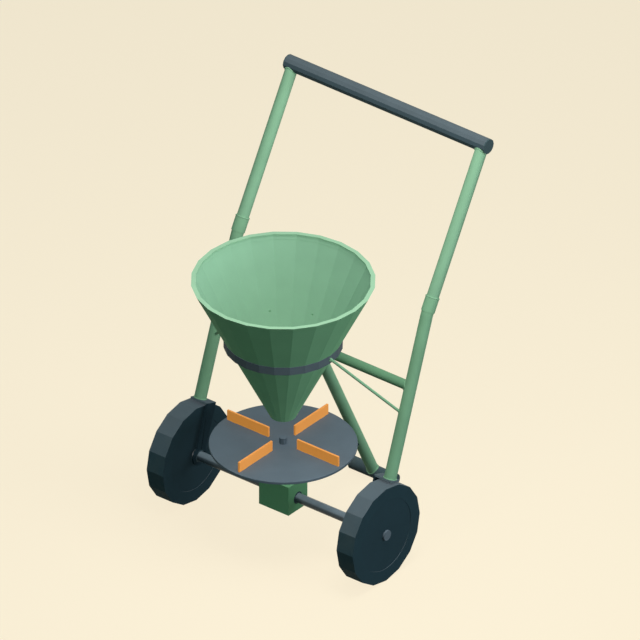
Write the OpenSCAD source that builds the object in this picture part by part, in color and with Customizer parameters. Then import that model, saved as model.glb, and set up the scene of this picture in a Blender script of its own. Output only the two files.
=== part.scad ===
// Walk-behind broadcast spreader: a faceted hopper over a wheel-driven spinner, on a tube frame.
// X is the axle, +Y is towards the operator, +Z is up. The origin is on the ground, in the middle
// of the floor area that the spreader takes. Heights called "up" are measured from the axle.

/* [Wheels] */
// Radius of each wheel, to the corners of its tread
wheel_r = 127; // [115:1:150]
// Width of each wheel
wheel_w = 49; // [40:1:58]
// Distance between the middles of the two wheels
track = 574; // [540:2:640]
// Flat pads round the tread of each wheel
tread_pads = 16; // [12:2:24]
// Thickness of the rubber, from a tread corner to the tyre's bore
tyre_t = 34; // [24:1:44]
// Sheet thickness of the pressed wheel shells
shell_t = 2.5; // [1.5:0.5:4]
// Wall of the hub tube inside each wheel
hub_wall = 6; // [4:0.5:10]
// How far the wheel shells sit in from the tyre's side faces
shell_inset = 1; // [0.5:0.5:4]

/* [Axle] */
// Diameter of the axle tube
axle_d = 24; // [20:1:26]
// Wall of the axle tube
axle_wall = 4; // [3:0.5:5]
// Depth of the flat that drives the right wheel
drive_flat = 2; // [1:0.5:2.5]
// Diameter of the end caps that keep the wheels on
cap_d = 26; // [26:1:32]
// Thickness of the end caps
cap_t = 5; // [3:0.5:8]
// Wall of the flanged axle bushes
bush_wall = 3.5; // [2:0.5:5]
// Thickness of the flange on every bush
flange_t = 2; // [1.5:0.5:3]
// Gap between a wheel and the bracket that carries the axle beside it
bracket_gap = 6; // [5:0.5:12]
// Thickness of the axle brackets
bracket_t = 5; // [4:0.5:8]
// Width of the axle brackets
bracket_w = 34; // [30:1:44]

/* [Hopper] */
// Radius of the hopper's rim, to the corners
rim_r = 219; // [190:1:250]
// Height of the rim above the axle
rim_up = 587; // [560:1:640]
// Radius of the hopper's outlet, to the corners
outlet_r = 31; // [29:1:40]
// Height of the outlet above the axle
outlet_up = 212; // [200:1:230]
// Flat facets round the hopper
hopper_sides = 24; // [24:24:24]
// Sheet thickness of the hopper, measured level
hopper_t = 2; // [1.5:0.5:4]
// Width of the flat hem on top of the rim
hem_w = 11; // [7:1:18]
// Thickness of the hem
hem_t = 3; // [2:0.5:5]
// How far the hem's inner lip hangs down
hem_lip = 14; // [8:1:24]
// Radius of the support ring, to the corners
ring_r = 142; // [125:1:165]
// Height of the support ring
ring_h = 21; // [14:1:30]
// Thickness left at the support ring's thin upper edge
ring_edge = 0.8; // [0.6:0.1:3]

/* [Gate] */
// Radius of the hole that the shutter closes
gate_r = 22; // [16:1:23]
// How far the shutter laps over the edge of its hole
gate_lap = 4; // [2:0.5:4.5]
// Thickness of the shutter blade
blade_t = 2; // [1.5:0.5:3]
// Thickness of the seat below the shutter
seat_h = 8; // [6:0.5:12]
// Thickness of the keeper above the shutter
keeper_h = 3; // [2:0.5:5]
// Width of the shutter's pull strip
strip_w = 24; // [16:1:30]
// How far the pull strip reaches behind the outlet's middle
strip_out = 57; // [52:1:64]
// Height of the turned-up finger tab on the strip
tab_h = 18; // [12:1:24]

/* [Spinner] */
// Radius of the spinner disc
disc_r = 176; // [150:1:195]
// Height of the disc's top face above the axle
disc_up = 135; // [120:1:150]
// Sheet thickness of the disc
disc_t = 3; // [2:0.5:5]
// Depth of the disc's turned-down edge, with the sheet
disc_edge = 7; // [5:0.5:14]
// Height of the four vanes
vane_h = 27; // [18:1:36]
// Thickness of the vanes
vane_t = 5; // [3:0.5:8]
// Where each vane starts, measured from the shaft
vane_in = 43; // [36:1:60]
// How far short of the disc's edge each vane stops
vane_short = 8; // [2:1:24]
// Diameter of the spinner shaft
shaft_d = 12; // [12:0.5:14]
// Diameter of the shaft where the pinion sits
shaft_seat_d = 8; // [7:0.5:9]
// Width of the shaft nut on top of the disc, across its corners
nut_d = 19; // [16:1:24]
// Height of the shaft nut
nut_h = 16; // [12:1:22]
// Wall of the shaft bushes
shaft_bush_wall = 3; // [2:0.5:4]

/* [Gears] */
// Size of the teeth: pitch diameter over the number of teeth
gear_module = 2; // [1.9:0.1:2.3]
// Teeth on the crown gear, which turns with the axle
crown_teeth = 28; // [26:2:32]
// Teeth on the pinion, which turns the spinner
pinion_teeth = 12; // [12:2:14]
// Share of the distance to the apex that the teeth take up
tooth_share = 0.4; // [0.3:0.02:0.42]
// Tooth thickness taken off each flank for backlash
flank_play = 0.12; // [0.08:0.01:0.2]
// Length of the crown gear's hub behind its teeth
crown_hub = 14; // [10:1:20]
// Length of the pinion's hub behind its teeth
pinion_hub = 7; // [6:0.5:10]

/* [Gearbox] */
// Wall of the gearbox housing
box_wall = 4; // [3:0.5:6]
// Room below the crown gear
box_room_under = 1.2; // [1:0.2:4]
// Room in front of and behind the crown gear
box_room_side = 3.2; // [3:0.2:8]
// Room between the crown gear's hub and the bush beside it
box_room_end = 7; // [4:1:12]
// Thickness of the rear cover
cover_t = 4; // [3:0.5:6]
// Wall of the tower that carries the spinner shaft
tower_wall = 6; // [4:0.5:9]
// Diameter of the cover's screws
screw_d = 4; // [3:0.5:5]

/* [Frame] */
// Diameter of the rail and handle tubes
tube_d = 30; // [26:1:32]
// Wall of the rail and handle tubes
tube_wall = 1.6; // [1.2:0.2:2.6]
// Lean of the rails behind upright
rail_lean = 19.7; // [17:0.1:22]
// Height of the rails' bend above the axle
bend_up = 516; // [480:1:560]
// Radius of the rails' bend
bend_r = 110; // [80:5:160]
// Length of the widened socket above the bend
socket_len = 32; // [26:1:50]
// Wall of the widened socket
socket_wall = 1.7; // [1.2:0.1:2.6]
// Height of the handle bar above the axle
handle_up = 884; // [820:1:940]
// How far the handle bar is behind the axle
handle_back = 397; // [370:1:430]
// Diameter of the handle bar
handle_d = 38; // [32:1:42]
// Number of flats round the handle bar
handle_sides = 12; // [8:2:12]
// How far the handle bar runs on past the middle of each handle tube
handle_over = 17; // [16:1:40]
// Wall of the handle bar
handle_wall = 2; // [1.5:0.5:4]
// How far the crossbar is below the support ring
cross_drop = 68; // [50:1:90]
// Diameter of the crossbar
cross_d = 24; // [20:1:28]
// Diameter of the stand leg
leg_d = 28; // [24:1:30]
// How far the foot bar is behind the axle
foot_back = 343; // [310:1:380]
// Diameter of the foot bar
foot_d = 32; // [26:1:38]
// Length of the foot bar
foot_len = 132; // [100:2:200]
// Thickness of the plugs in the ends of the bars
plug_t = 3; // [2:0.5:5]
// Diameter of the two thin brace rods
brace_d = 7; // [5:0.5:10]
// How far below the support ring the brace rods meet the rails
brace_drop = 135; // [100:1:170]
// Diameter of the two posts under the support ring
post_d = 10; // [8:0.5:10]
// Distance of each post from the middle
post_x = 60; // [50:1:70]
// Diameter of the strut that stops the gearbox turning
strut_d = 16; // [12:1:20]
// Depth of the strut's socket on the gearbox cover
strut_socket = 16; // [12:1:24]

/* [Hidden] */
$fn = 48;

green = [0.42, 0.62, 0.48];
mint = [0.60, 0.82, 0.68];
dark_green = [0.24, 0.45, 0.30];
slate = [0.33, 0.38, 0.42];
dark_slate = [0.12, 0.18, 0.21];
orange = [0.88, 0.56, 0.27];
steel = [0.62, 0.65, 0.68];
bronze = [0.70, 0.52, 0.28];

// Clearances: pieces that are welded or pressed together, and pieces that run on each other
weld_gap = 0.1;
seat_gap = 0.1;
run_gap = 0.05;
side_gap = 0.3;
over = 20;

// How far a shank runs on into its head
shank_root = 1;

// Wheels and axle
axle_r = axle_d / 2;
wheel_x = track / 2;
tyre_bore_r = wheel_r - tyre_t;
shell_face = wheel_w / 2 - shell_inset;
hub_half = shell_face - shell_t - seat_gap;
wheel_bush_r = axle_r + bush_wall;
hub_r = wheel_bush_r + hub_wall;
axle_half = wheel_x + shell_face + side_gap;
cap_spigot = 14;
plug_spigot = 12;
wheel_inner_x = wheel_x - wheel_w / 2;
bracket_x = wheel_inner_x - bracket_gap - bracket_t;
flange_lap = 4;
bracket_eye_r = wheel_bush_r + 9;
spacer_r = axle_r + 5;

// Rails: they lean back along a line through the axle, and end on the axle brackets
tread_gap = 2;
rail_foot = wheel_r + tread_gap + bracket_t;
tube_r = tube_d / 2;
bend_back = bend_up * tan(rail_lean);
handle_lean = atan2(handle_back - bend_back, handle_up - bend_up);
bend_angle = handle_lean - rail_lean;
bend_cut = bend_r * tan(bend_angle / 2);
bend_along = bend_up / cos(rail_lean);
socket_bore_r = tube_r + seat_gap;
socket_r = socket_bore_r + socket_wall;
socket_lap = 4;
joint_bolt_d = 6;
joint_bolt_len = 10;
joint_head_d = 11;
joint_head_h = 4;
socket_seat = 1;
handle_len = norm([handle_back - bend_back, handle_up - bend_up]);
handle_half = wheel_x + handle_over;
foot_up = foot_d / 2 - wheel_r;

// Hopper: its radius grows evenly from the outlet to the rim
flare = (rim_r - outlet_r) / (rim_up - outlet_up);
corner_share = cos(180 / hopper_sides);
facet_slope = atan(flare * corner_share);
function cone_r(up) = outlet_r + flare * (up - outlet_up);
ring_top = outlet_up + (ring_r - ring_edge - outlet_r) / flare;
ring_low = ring_top - ring_h;
ring_mid = (ring_top + ring_low) / 2;
cross_up = ring_low - cross_drop;
cross_back = cross_up * tan(rail_lean);
brace_up = ring_low - brace_drop;
brace_back = brace_up * tan(rail_lean);
brace_lap = 4;
post_ring_r = (ring_r + cone_r(ring_low)) / 2 * corner_share;
post_back = sqrt(pow(post_ring_r, 2) - pow(post_x, 2));
facet = 360 / hopper_sides;
ring_screw_angles = [3.5 * facet, 6.5 * facet, 9.5 * facet];
ring_screw_d = 5;
ring_screw_head = 3;
lip_t = 2;

// Gate: the blade slides to the rear between the seat and the keeper
blade_gap = 0.1;
blade_low = outlet_up + seat_h + blade_gap;
keeper_low = blade_low + blade_t + blade_gap;
blade_r = gate_r + gate_lap;
guide_gap = 0.25;
function bore_fit(up) = (cone_r(up) - hopper_t) * corner_share - seat_gap;
gate_screw_up = outlet_up + 0.4 * seat_h;
gate_screw_grip = 3;
gate_screw_d = 3;
rivet_d = 2.5;
rivet_grip = 1;
rivet_x = (blade_r + guide_gap + bore_fit(keeper_low)) / 2;

// Gears: both sets of teeth point at the middle of the axle
crown_r = gear_module * crown_teeth / 2;
pinion_r = gear_module * pinion_teeth / 2;
apex = norm([crown_r, pinion_r]);
crown_angle = atan2(crown_r, pinion_r);
pinion_angle = 90 - crown_angle;
profile_shift = 0.25;
crown_addendum = gear_module * (1 - profile_shift);
crown_dedendum = gear_module * (1.2 + profile_shift);
pinion_addendum = gear_module * (1 + profile_shift);
pinion_dedendum = gear_module * (1.2 - profile_shift);
crown_tip_r = crown_r + crown_addendum * cos(crown_angle);
crown_back = pinion_r + crown_dedendum * sin(crown_angle) + 3;
crown_end = crown_back + crown_hub;
crown_hub_r = axle_r + 6;
pinion_back = crown_r + pinion_dedendum * sin(pinion_angle) + 2;
pinion_end = pinion_back + pinion_hub;
pinion_hub_r = shaft_seat_d / 2 + 5;

// Gearbox: its cavity follows the gears
box_half_x = crown_end + box_room_end + flange_t + box_wall;
box_low = -(crown_tip_r + box_room_under + box_wall);
box_front = -(crown_tip_r + box_room_side + box_wall);
box_rear = crown_tip_r + box_room_side;
shaft_r = shaft_d / 2;
shaft_bush_r = shaft_r + shaft_bush_wall;
box_roof = pinion_end + side_gap + flange_t;
box_top = box_roof + box_wall;
tower_r = shaft_bush_r + tower_wall;
shaft_seat_r = shaft_seat_d / 2;
box_bush_r = axle_r + bush_wall;
post_r = screw_d / 2 + 3.5;
post_in = post_r - 1;
cover_screw_depth = 14;
strut_boss_r = strut_d / 2 + 4;
grub_d = 5;

// Spinner: the disc's hub stands on the upper tower bush
disc_low = disc_up - disc_t;
hub_flange_r = 32;
hub_flange_t = 3;
hub_boss_r = 14;
hub_boss_len = 16;
hub_cove = 3;
hub_pin_d = 4;
hub_pin_up = hub_boss_len / 2;
nut_crown = 3;
stud_room = 1;
hub_boss_low = disc_low - hub_flange_t - hub_boss_len;
tower_top = hub_boss_low - side_gap - flange_t;
bush_len = 16;
vane_out = disc_r - vane_short;
vane_tab = 14;
stud_r = 4;

// Everything stands on the ground, over the middle of the floor area
mid_back = (handle_back + handle_d / 2 - rim_r) / 2;

// Corners of a regular polygon, the first one on the X axis
function ngon(n, r) = [for (i = [0:n - 1]) r * [cos(360 * i / n), sin(360 * i / n)]];

// Moves a piece from the axle's frame to its place above the ground
module place() {
    translate([0, -mid_back, wheel_r]) children();
}

// Turns a piece that was made along Z to lie along X
module along_x() {
    rotate([0, 90, 0]) children();
}

// Turns a piece that was made along Z to lie along the leaning rails
module along_rail() {
    rotate([-rail_lean, 0, 0]) children();
}

// Solid rod between two points
module rod(from, to, d) {
    v = to - from;
    translate(from)
        rotate([0, acos(v.z / norm(v)), atan2(v.y, v.x)])
            cylinder(d = d, h = norm(v));
}

// Ring or plain bush standing on the plane z = 0
module ring(outer, inner, h) {
    difference() {
        cylinder(r = outer, h = h);
        translate([0, 0, -over]) cylinder(r = inner, h = h + 2 * over);
    }
}

// Bush with its flange on the plane z = 0 and its body above it
module flanged_bush(body_r, flange_r, bore_r, h) {
    difference() {
        union() {
            cylinder(r = flange_r, h = flange_t);
            cylinder(r = body_r, h = flange_t + h);
        }
        translate([0, 0, -over]) cylinder(r = bore_r, h = h + 2 * over);
    }
}

// Faceted ring round Z: its profile is a list of radius and height, the solid on its left side
module facet_ring(profile) {
    n = hopper_sides;
    bands = len(profile);
    points = [for (p = profile, i = [0:n - 1])
        [p.x * cos(360 * i / n), p.x * sin(360 * i / n), p.y]];
    faces = [for (j = [0:bands - 1], i = [0:n - 1])
        let (a = j * n, b = (j + 1) % bands * n, k = (i + 1) % n)
        [a + i, b + i, b + k, a + k]];
    polyhedron(points = points, faces = faces, convexity = 10);
}

// Carries a piece to the outside of a facet, with z pointing out of the sheet
module on_facet(angle, up) {
    r = cone_r(up) * corner_share;
    translate([r * cos(angle), r * sin(angle), up])
        rotate([0, 90 + facet_slope, angle]) children();
}

// Hopper sheet: cone, shutter slot at the rear, and holes for the screws
module hopper() {
    top = rim_up - hem_t - seat_gap;
    color(green) difference() {
        facet_ring([[outlet_r, outlet_up], [cone_r(top), top], [cone_r(top) - hopper_t, top],
            [outlet_r - hopper_t, outlet_up]]);
        translate([-blade_r - guide_gap, 0, blade_low - guide_gap])
            cube([2 * (blade_r + guide_gap), 3 * blade_r, blade_t + 2 * guide_gap]);
        ring_screw_shanks(seat_gap, ring_screw_d);
        gate_screw_shanks(seat_gap);
    }
}

// Hem: a flat collar on the sheet's edge with a lip inside the hopper
module hopper_hem() {
    low = rim_up - hem_t;
    foot = rim_up - hem_lip;
    gap = hopper_t + seat_gap;
    color(mint) facet_ring([[rim_r, rim_up], [rim_r - hem_w, rim_up], [rim_r - hem_w, low],
        [cone_r(low) - gap - lip_t, low], [cone_r(foot) - gap - lip_t, foot],
        [cone_r(foot) - gap, foot], [cone_r(low) - gap, low], [cone_r(low), low]]);
}

// Support ring: straight outside, tapered inside to hold the hopper like a wedge
module support_ring() {
    color(slate) difference() {
        facet_ring([[cone_r(ring_low) + seat_gap, ring_low], [ring_r, ring_low],
            [ring_r, ring_top], [cone_r(ring_top) + seat_gap, ring_top]]);
        ring_screw_shanks(seat_gap);
    }
}

// Shanks of the ring's screws, or the holes for them, which run on past the sheet's inner face
module ring_screw_shanks(gap, deep = 0) {
    inner = (cone_r(ring_mid) - hopper_t) * corner_share - deep;
    for (angle = ring_screw_angles)
        rotate([0, 0, angle])
            translate([inner, 0, ring_mid])
                along_x() cylinder(d = ring_screw_d + 2 * gap,
                    h = ring_r * corner_share + shank_root - inner);
}

// Pan head screws that hold the hopper in its ring, at the rear where they can be reached
module ring_screws() {
    color(steel) {
        ring_screw_shanks(0);
        for (angle = ring_screw_angles)
            rotate([0, 0, angle])
                translate([ring_r * corner_share, 0, ring_mid])
                    along_x() cylinder(d = 2 * ring_screw_d, h = ring_screw_head);
    }
}

// Groove that guides the blade in the top of the seat
module blade_groove() {
    r = blade_r + guide_gap;
    translate([0, 0, outlet_up + seat_h]) {
        cylinder(r = r, h = over);
        translate([-r, 0, 0]) cube([2 * r, 3 * r, over]);
    }
}

// Turned seat that plugs the bottom of the cone and carries the shutter
module gate_seat() {
    color(dark_slate) difference() {
        rotate_extrude()
            polygon([[gate_r, outlet_up], [bore_fit(outlet_up), outlet_up],
                [bore_fit(keeper_low), keeper_low], [gate_r, keeper_low]]);
        blade_groove();
        gate_rivet_shanks(0.05);
        gate_screw_shanks(0.05);
    }
}

// Keeper ring that holds the blade down on its seat
module gate_keeper() {
    top = keeper_low + keeper_h;
    color(dark_slate) difference() {
        rotate_extrude()
            polygon([[gate_r, keeper_low], [bore_fit(keeper_low), keeper_low],
                [bore_fit(top), top], [gate_r, top]]);
        gate_rivet_shanks(0.05);
    }
}

// Shanks of the two rivets through keeper and seat
module gate_rivet_shanks(gap) {
    for (side = [-1, 1])
        translate([side * rivet_x, 0, outlet_up + seat_h - rivet_grip])
            cylinder(d = rivet_d + 2 * gap,
                h = keeper_low + keeper_h + shank_root + rivet_grip - outlet_up - seat_h);
}

// Rivets that join the keeper to the seat
module gate_rivets() {
    color(steel) {
        gate_rivet_shanks(0);
        for (side = [-1, 1])
            translate([side * rivet_x, 0, keeper_low + keeper_h])
                cylinder(d = 1.8 * rivet_d, h = 1.2);
    }
}

// Shanks of the two screws that hold the seat in the cone
module gate_screw_shanks(gap) {
    for (side = [-1, 1])
        on_facet(90 + side * 3.5 * facet, gate_screw_up)
            translate([0, 0, -hopper_t - gate_screw_grip])
                cylinder(d = gate_screw_d + 2 * gap, h = hopper_t + gate_screw_grip + shank_root);
}

// Screws through the sheet into the seat
module gate_screws() {
    color(steel) {
        gate_screw_shanks(0);
        for (side = [-1, 1])
            on_facet(90 + side * 3.5 * facet, gate_screw_up)
                cylinder(d = 2 * gate_screw_d, h = 2);
    }
}

// Shutter: a round blade, a pull strip and a turned-up tab with a finger hole
module gate_blade() {
    color(steel) difference() {
        translate([0, 0, blade_low]) {
            cylinder(r = blade_r, h = blade_t);
            translate([-strip_w / 2, 0, 0]) cube([strip_w, strip_out, blade_t]);
            translate([-strip_w / 2, strip_out - blade_t, 0]) cube([strip_w, blade_t, tab_h]);
        }
        translate([0, strip_out + over, blade_low + 0.6 * tab_h])
            rotate([90, 0, 0]) cylinder(d = 0.4 * tab_h, h = 2 * over);
    }
}

// Carries a piece to the line of the handle tubes, a given distance past the rails' bend
module past_bend(distance) {
    translate([0, bend_back, bend_up])
        rotate([-handle_lean, 0, 0])
            translate([0, 0, distance]) children();
}

// Hole for the bolt that locks a handle tube in its socket, bored from the rear
module joint_bolt_hole() {
    past_bend(bend_cut + socket_len / 2)
        rotate([-90, 0, 0]) cylinder(d = joint_bolt_d + 2 * seat_gap, h = tube_d);
}

// Solid rail from a height on the leaning line to the end of its bend
module rail_core(r, low) {
    high = bend_along - bend_cut;
    along_rail() translate([0, 0, high]) {
        translate([0, 0, low - high]) cylinder(r = r, h = high - low);
        translate([0, bend_r, 0])
            rotate([0, -90, 0])
                rotate([0, 0, -90])
                    rotate_extrude(angle = bend_angle) translate([bend_r, 0]) circle(r = r);
    }
}

// Rail: a bent tube from the axle bracket to the widened socket
module rail(side) {
    color(green) translate([side * wheel_x, 0, 0]) difference() {
        union() {
            rail_core(tube_r, rail_foot + weld_gap);
            past_bend(bend_cut - socket_lap) cylinder(r = socket_r, h = socket_len + socket_lap);
        }
        rail_core(tube_r - tube_wall, rail_foot - over);
        past_bend(bend_cut - socket_seat) cylinder(r = socket_bore_r, h = socket_len + over);
        joint_bolt_hole();
    }
}

// Handle tube: stands in the rail's socket and is coped round the handle bar
module handle_tube(side) {
    low = bend_cut - socket_seat + seat_gap;
    color(green) translate([side * wheel_x, 0, 0]) difference() {
        past_bend(low) cylinder(d = tube_d, h = handle_len - low);
        past_bend(low - over) cylinder(d = tube_d - 2 * tube_wall, h = handle_len + over);
        translate([-over - tube_d, handle_back, handle_up])
            along_x() cylinder(d = handle_d + 2 * weld_gap, h = 2 * (over + tube_d), $fn = handle_sides);
        joint_bolt_hole();
    }
}

// Hexagon bolts from the rear that lock the handle tubes
module joint_bolts() {
    color(steel) for (side = [-1, 1])
        translate([side * wheel_x, 0, 0])
            past_bend(bend_cut + socket_len / 2)
                rotate([-90, 0, 0]) {
                    translate([0, 0, socket_r - joint_bolt_len])
                        cylinder(d = joint_bolt_d, h = joint_bolt_len);
                    translate([0, 0, socket_r])
                        cylinder(d = joint_head_d, h = joint_head_h, $fn = 6);
                }
}

// Tube along X with room for a plug in each end
module bar(back, up, d, wall, half) {
    translate([-half, back, up]) along_x() ring(d / 2, d / 2 - wall, 2 * half);
}

// End plugs of a bar: a disc as wide as the bar and a spigot inside it
module bar_plugs(back, up, d, wall, half, sides = $fn) {
    for (side = [-1, 1])
        translate([side * half, back, up])
            rotate([0, side * 90, 0]) {
                cylinder(d = d, h = plug_t, $fn = sides);
                translate([0, 0, -plug_spigot]) cylinder(r = d / 2 - wall - seat_gap, h = plug_spigot);
            }
}

// Handle bar across the tops of the handle tubes: flats outside, a round bore inside
module handle_bar() {
    half = handle_half - plug_t;
    color(slate) translate([-half, handle_back, handle_up]) along_x() difference() {
        cylinder(d = handle_d, h = 2 * half, $fn = handle_sides);
        translate([0, 0, -over]) cylinder(d = handle_d - 2 * handle_wall, h = 2 * (half + over));
    }
}

// Plugs in the handle bar's ends
module handle_plugs() {
    color(dark_slate)
        bar_plugs(handle_back, handle_up, handle_d, handle_wall, handle_half - plug_t, handle_sides);
}

// Crossbar between the rails, coped to both
module crossbar() {
    color(green) difference() {
        bar(cross_back, cross_up, cross_d, tube_wall, wheel_x);
        for (side = [-1, 1])
            translate([side * wheel_x, 0, 0])
                along_rail() cylinder(d = tube_d + 2 * weld_gap, h = bend_along);
    }
}

// Two posts from the crossbar to the underside of the support ring
module ring_posts() {
    color(green) difference() {
        for (side = [-1, 1])
            rod([side * post_x, cross_back, cross_up],
                [side * post_x, post_back, ring_low + post_d], post_d);
        translate([-wheel_x, cross_back, cross_up])
            along_x() cylinder(d = cross_d + 2 * weld_gap, h = 2 * wheel_x);
        translate([0, 0, ring_low - weld_gap]) cylinder(r = 2 * ring_r, h = over + post_d);
    }
}

// Thin brace rod from the side of the support ring down to a rail
module brace_rod(side) {
    color(green) difference() {
        rod([side * (ring_r - brace_lap), 0,
            ring_mid + brace_lap * (ring_mid - brace_up) / (wheel_x - ring_r)],
            [side * wheel_x, brace_back, brace_up], brace_d);
        translate([0, 0, ring_low - over])
            linear_extrude(height = ring_h + 2 * over)
                polygon(ngon(hopper_sides, ring_r + weld_gap));
        translate([side * wheel_x, 0, 0])
            along_rail() cylinder(d = tube_d + 2 * weld_gap, h = bend_along);
    }
}

// Solid outline of the stand leg, for the leg itself and for what is coped to it
module leg_line(d, beyond = 0) {
    top = [0, cross_back, cross_up];
    foot = [0, foot_back, foot_up];
    more = beyond * (foot - top) / norm(foot - top);
    rod(top - more, foot + more, d);
}

// Stand leg from the crossbar to the foot bar
module stand_leg() {
    color(dark_green) difference() {
        leg_line(leg_d);
        leg_line(leg_d - 2 * tube_wall, over);
        translate([-leg_d, cross_back, cross_up])
            along_x() cylinder(d = cross_d + 2 * weld_gap, h = 2 * leg_d);
        translate([-leg_d, foot_back, foot_up])
            along_x() cylinder(d = foot_d + 2 * weld_gap, h = 2 * leg_d);
    }
}

// Foot bar that rests on the ground
module foot_bar() {
    color(slate) bar(foot_back, foot_up, foot_d, handle_wall, foot_len / 2 - plug_t);
}

// Plugs in the foot bar's ends
module foot_plugs() {
    color(dark_slate) bar_plugs(foot_back, foot_up, foot_d, handle_wall, foot_len / 2 - plug_t);
}

// Axle bracket: a cap under the rail, a strap down inside the wheel and an eye
module axle_bracket(side) {
    half_w = bracket_w / 2;
    cap_out = wheel_x + tube_r + 1 - bracket_x;
    color(dark_slate) scale([side, 1, 1]) along_rail() difference() {
        translate([bracket_x, 0, 0]) {
            translate([0, -half_w, rail_foot - bracket_t]) cube([cap_out, bracket_w, bracket_t]);
            translate([0, -half_w, 0]) cube([bracket_t, bracket_w, rail_foot]);
            along_x() cylinder(r = bracket_eye_r, h = bracket_t);
        }
        translate([bracket_x - over, 0, 0])
            along_x() cylinder(r = wheel_bush_r + seat_gap, h = 2 * over);
    }
}

// Flanged bushes in the eyes of the axle brackets
module bracket_bushes() {
    color(bronze) for (side = [-1, 1])
        scale([side, 1, 1])
            translate([bracket_x + bracket_t + flange_t, 0, 0])
                rotate([0, -90, 0])
                    flanged_bush(wheel_bush_r, wheel_bush_r + flange_lap, axle_r + run_gap, bracket_t);
}

// Places a cover screw in each corner of the gearbox, pointing forward
module cover_corners() {
    for (x = [-1, 1], z = [box_low + box_wall + post_in, box_roof - post_in])
        translate([x * (box_half_x - box_wall - post_in), box_rear, z]) rotate([90, 0, 0]) children();
}

// Gearbox housing: a cast box open at the rear, with screw posts and the shaft tower
module gearbox_housing() {
    depth = box_rear - box_front;
    color(dark_green) difference() {
        union() {
            difference() {
                translate([-box_half_x, box_front, box_low])
                    cube([2 * box_half_x, depth, box_top - box_low]);
                translate([-box_half_x + box_wall, box_front + box_wall, box_low + box_wall])
                    cube([2 * (box_half_x - box_wall), depth, box_roof - box_low - box_wall]);
            }
            translate([0, 0, box_top]) cylinder(r = tower_r, h = tower_top - box_top);
            cover_corners() cylinder(r = post_r, h = depth - 1);
        }
        translate([-box_half_x - over, 0, 0])
            along_x() cylinder(r = box_bush_r + seat_gap, h = 2 * (box_half_x + over));
        translate([0, 0, box_roof - 1]) cylinder(r = shaft_bush_r + seat_gap, h = tower_top + over);
        cover_corners()
            translate([0, 0, -1]) cylinder(d = screw_d + 2 * seat_gap, h = cover_screw_depth + 1);
    }
}

// Rear cover of the gearbox, with the socket for the torque strut
module gearbox_cover() {
    color(dark_green) difference() {
        union() {
            translate([-box_half_x, box_rear, box_low])
                cube([2 * box_half_x, cover_t, box_top - box_low]);
            translate([0, box_rear + cover_t, 0])
                rotate([-90, 0, 0]) cylinder(r = strut_boss_r, h = strut_socket);
        }
        translate([0, box_rear + cover_t, 0])
            rotate([-90, 0, 0]) cylinder(r = strut_d / 2 + seat_gap, h = strut_socket + over);
        translate([0, box_rear + cover_t + strut_socket / 2, -strut_boss_r - 1])
            cylinder(d = grub_d + 2 * seat_gap, h = strut_boss_r);
        cover_corners() translate([0, 0, -over]) cylinder(d = screw_d + 2 * seat_gap, h = 2 * over);
    }
}

// Pan head screws of the rear cover
module cover_screws() {
    color(steel) cover_corners() translate([0, 0, -cover_t]) {
        cylinder(d = screw_d, h = cover_t + cover_screw_depth - 2);
        translate([0, 0, -2.5]) cylinder(d = 2 * screw_d, h = 2.5);
    }
}

// Flanged axle bushes in the side walls of the gearbox
module gearbox_bushes() {
    color(bronze) for (side = [-1, 1])
        scale([side, 1, 1])
            translate([box_half_x - box_wall - flange_t, 0, 0])
                along_x()
                    flanged_bush(box_bush_r, box_bush_r + 3, axle_r + run_gap, box_wall);
}

// Flanged bushes at the foot and at the top of the shaft tower
module tower_bushes() {
    flange_r = shaft_bush_r + flange_lap;
    color(bronze) {
        translate([0, 0, box_roof - flange_t])
            flanged_bush(shaft_bush_r, flange_r, shaft_r + run_gap, bush_len);
        translate([0, 0, tower_top + flange_t])
            mirror([0, 0, 1]) flanged_bush(shaft_bush_r, flange_r, shaft_r + run_gap, bush_len);
    }
}

// Strut from the gearbox cover to the stand leg, which stops the gearbox turning
module torque_strut() {
    start = box_rear + cover_t + seat_gap;
    color(dark_slate) difference() {
        translate([0, start, 0]) rotate([-90, 0, 0]) ring(strut_d / 2, strut_d / 2 - 2, foot_back - start);
        leg_line(leg_d + 2 * weld_gap);
        translate([-over, foot_back - (foot_back - cross_back) * -foot_up / (cross_up - foot_up), -over])
            cube([2 * over, foot_back, 2 * over]);
        translate([0, box_rear + cover_t + strut_socket / 2, -strut_d])
            cylinder(d = grub_d + 2 * seat_gap, h = strut_d);
    }
}

// Screw that locks the strut in its socket, from below
module strut_screw() {
    color(steel) translate([0, box_rear + cover_t + strut_socket / 2, -strut_boss_r]) {
        cylinder(d = grub_d, h = strut_boss_r - strut_d / 2 + 4);
        translate([0, 0, -3]) cylinder(d = 1.8 * grub_d, h = 3);
    }
}

// Flat on the underside of the axle where the right wheel is driven
module drive_flat_cut(gap) {
    translate([wheel_inner_x, -axle_d, -axle_d - axle_r + drive_flat - gap])
        cube([wheel_w + over, 2 * axle_d, axle_d]);
}

// Axle tube through both wheels and the gearbox
module axle() {
    color(slate) difference() {
        translate([-axle_half, 0, 0]) along_x() ring(axle_r, axle_r - axle_wall, 2 * axle_half);
        drive_flat_cut(0);
        crown_pin_hole(seat_gap);
    }
}

// Caps pressed into the ends of the axle
module axle_caps() {
    color(slate) for (side = [-1, 1])
        translate([side * axle_half, 0, 0])
            rotate([0, side * 90, 0]) {
                cylinder(d = cap_d, h = cap_t);
                translate([0, 0, -cap_spigot])
                    cylinder(r = axle_r - axle_wall - seat_gap, h = cap_spigot);
            }
}

// Spacer rings between the bracket bushes and the wheels
module axle_spacers() {
    low = bracket_x + bracket_t + flange_t + side_gap;
    color(steel) for (side = [-1, 1])
        scale([side, 1, 1])
            translate([low, 0, 0])
                along_x() ring(spacer_r, axle_r + run_gap, wheel_x - shell_face - side_gap - low);
}

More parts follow.
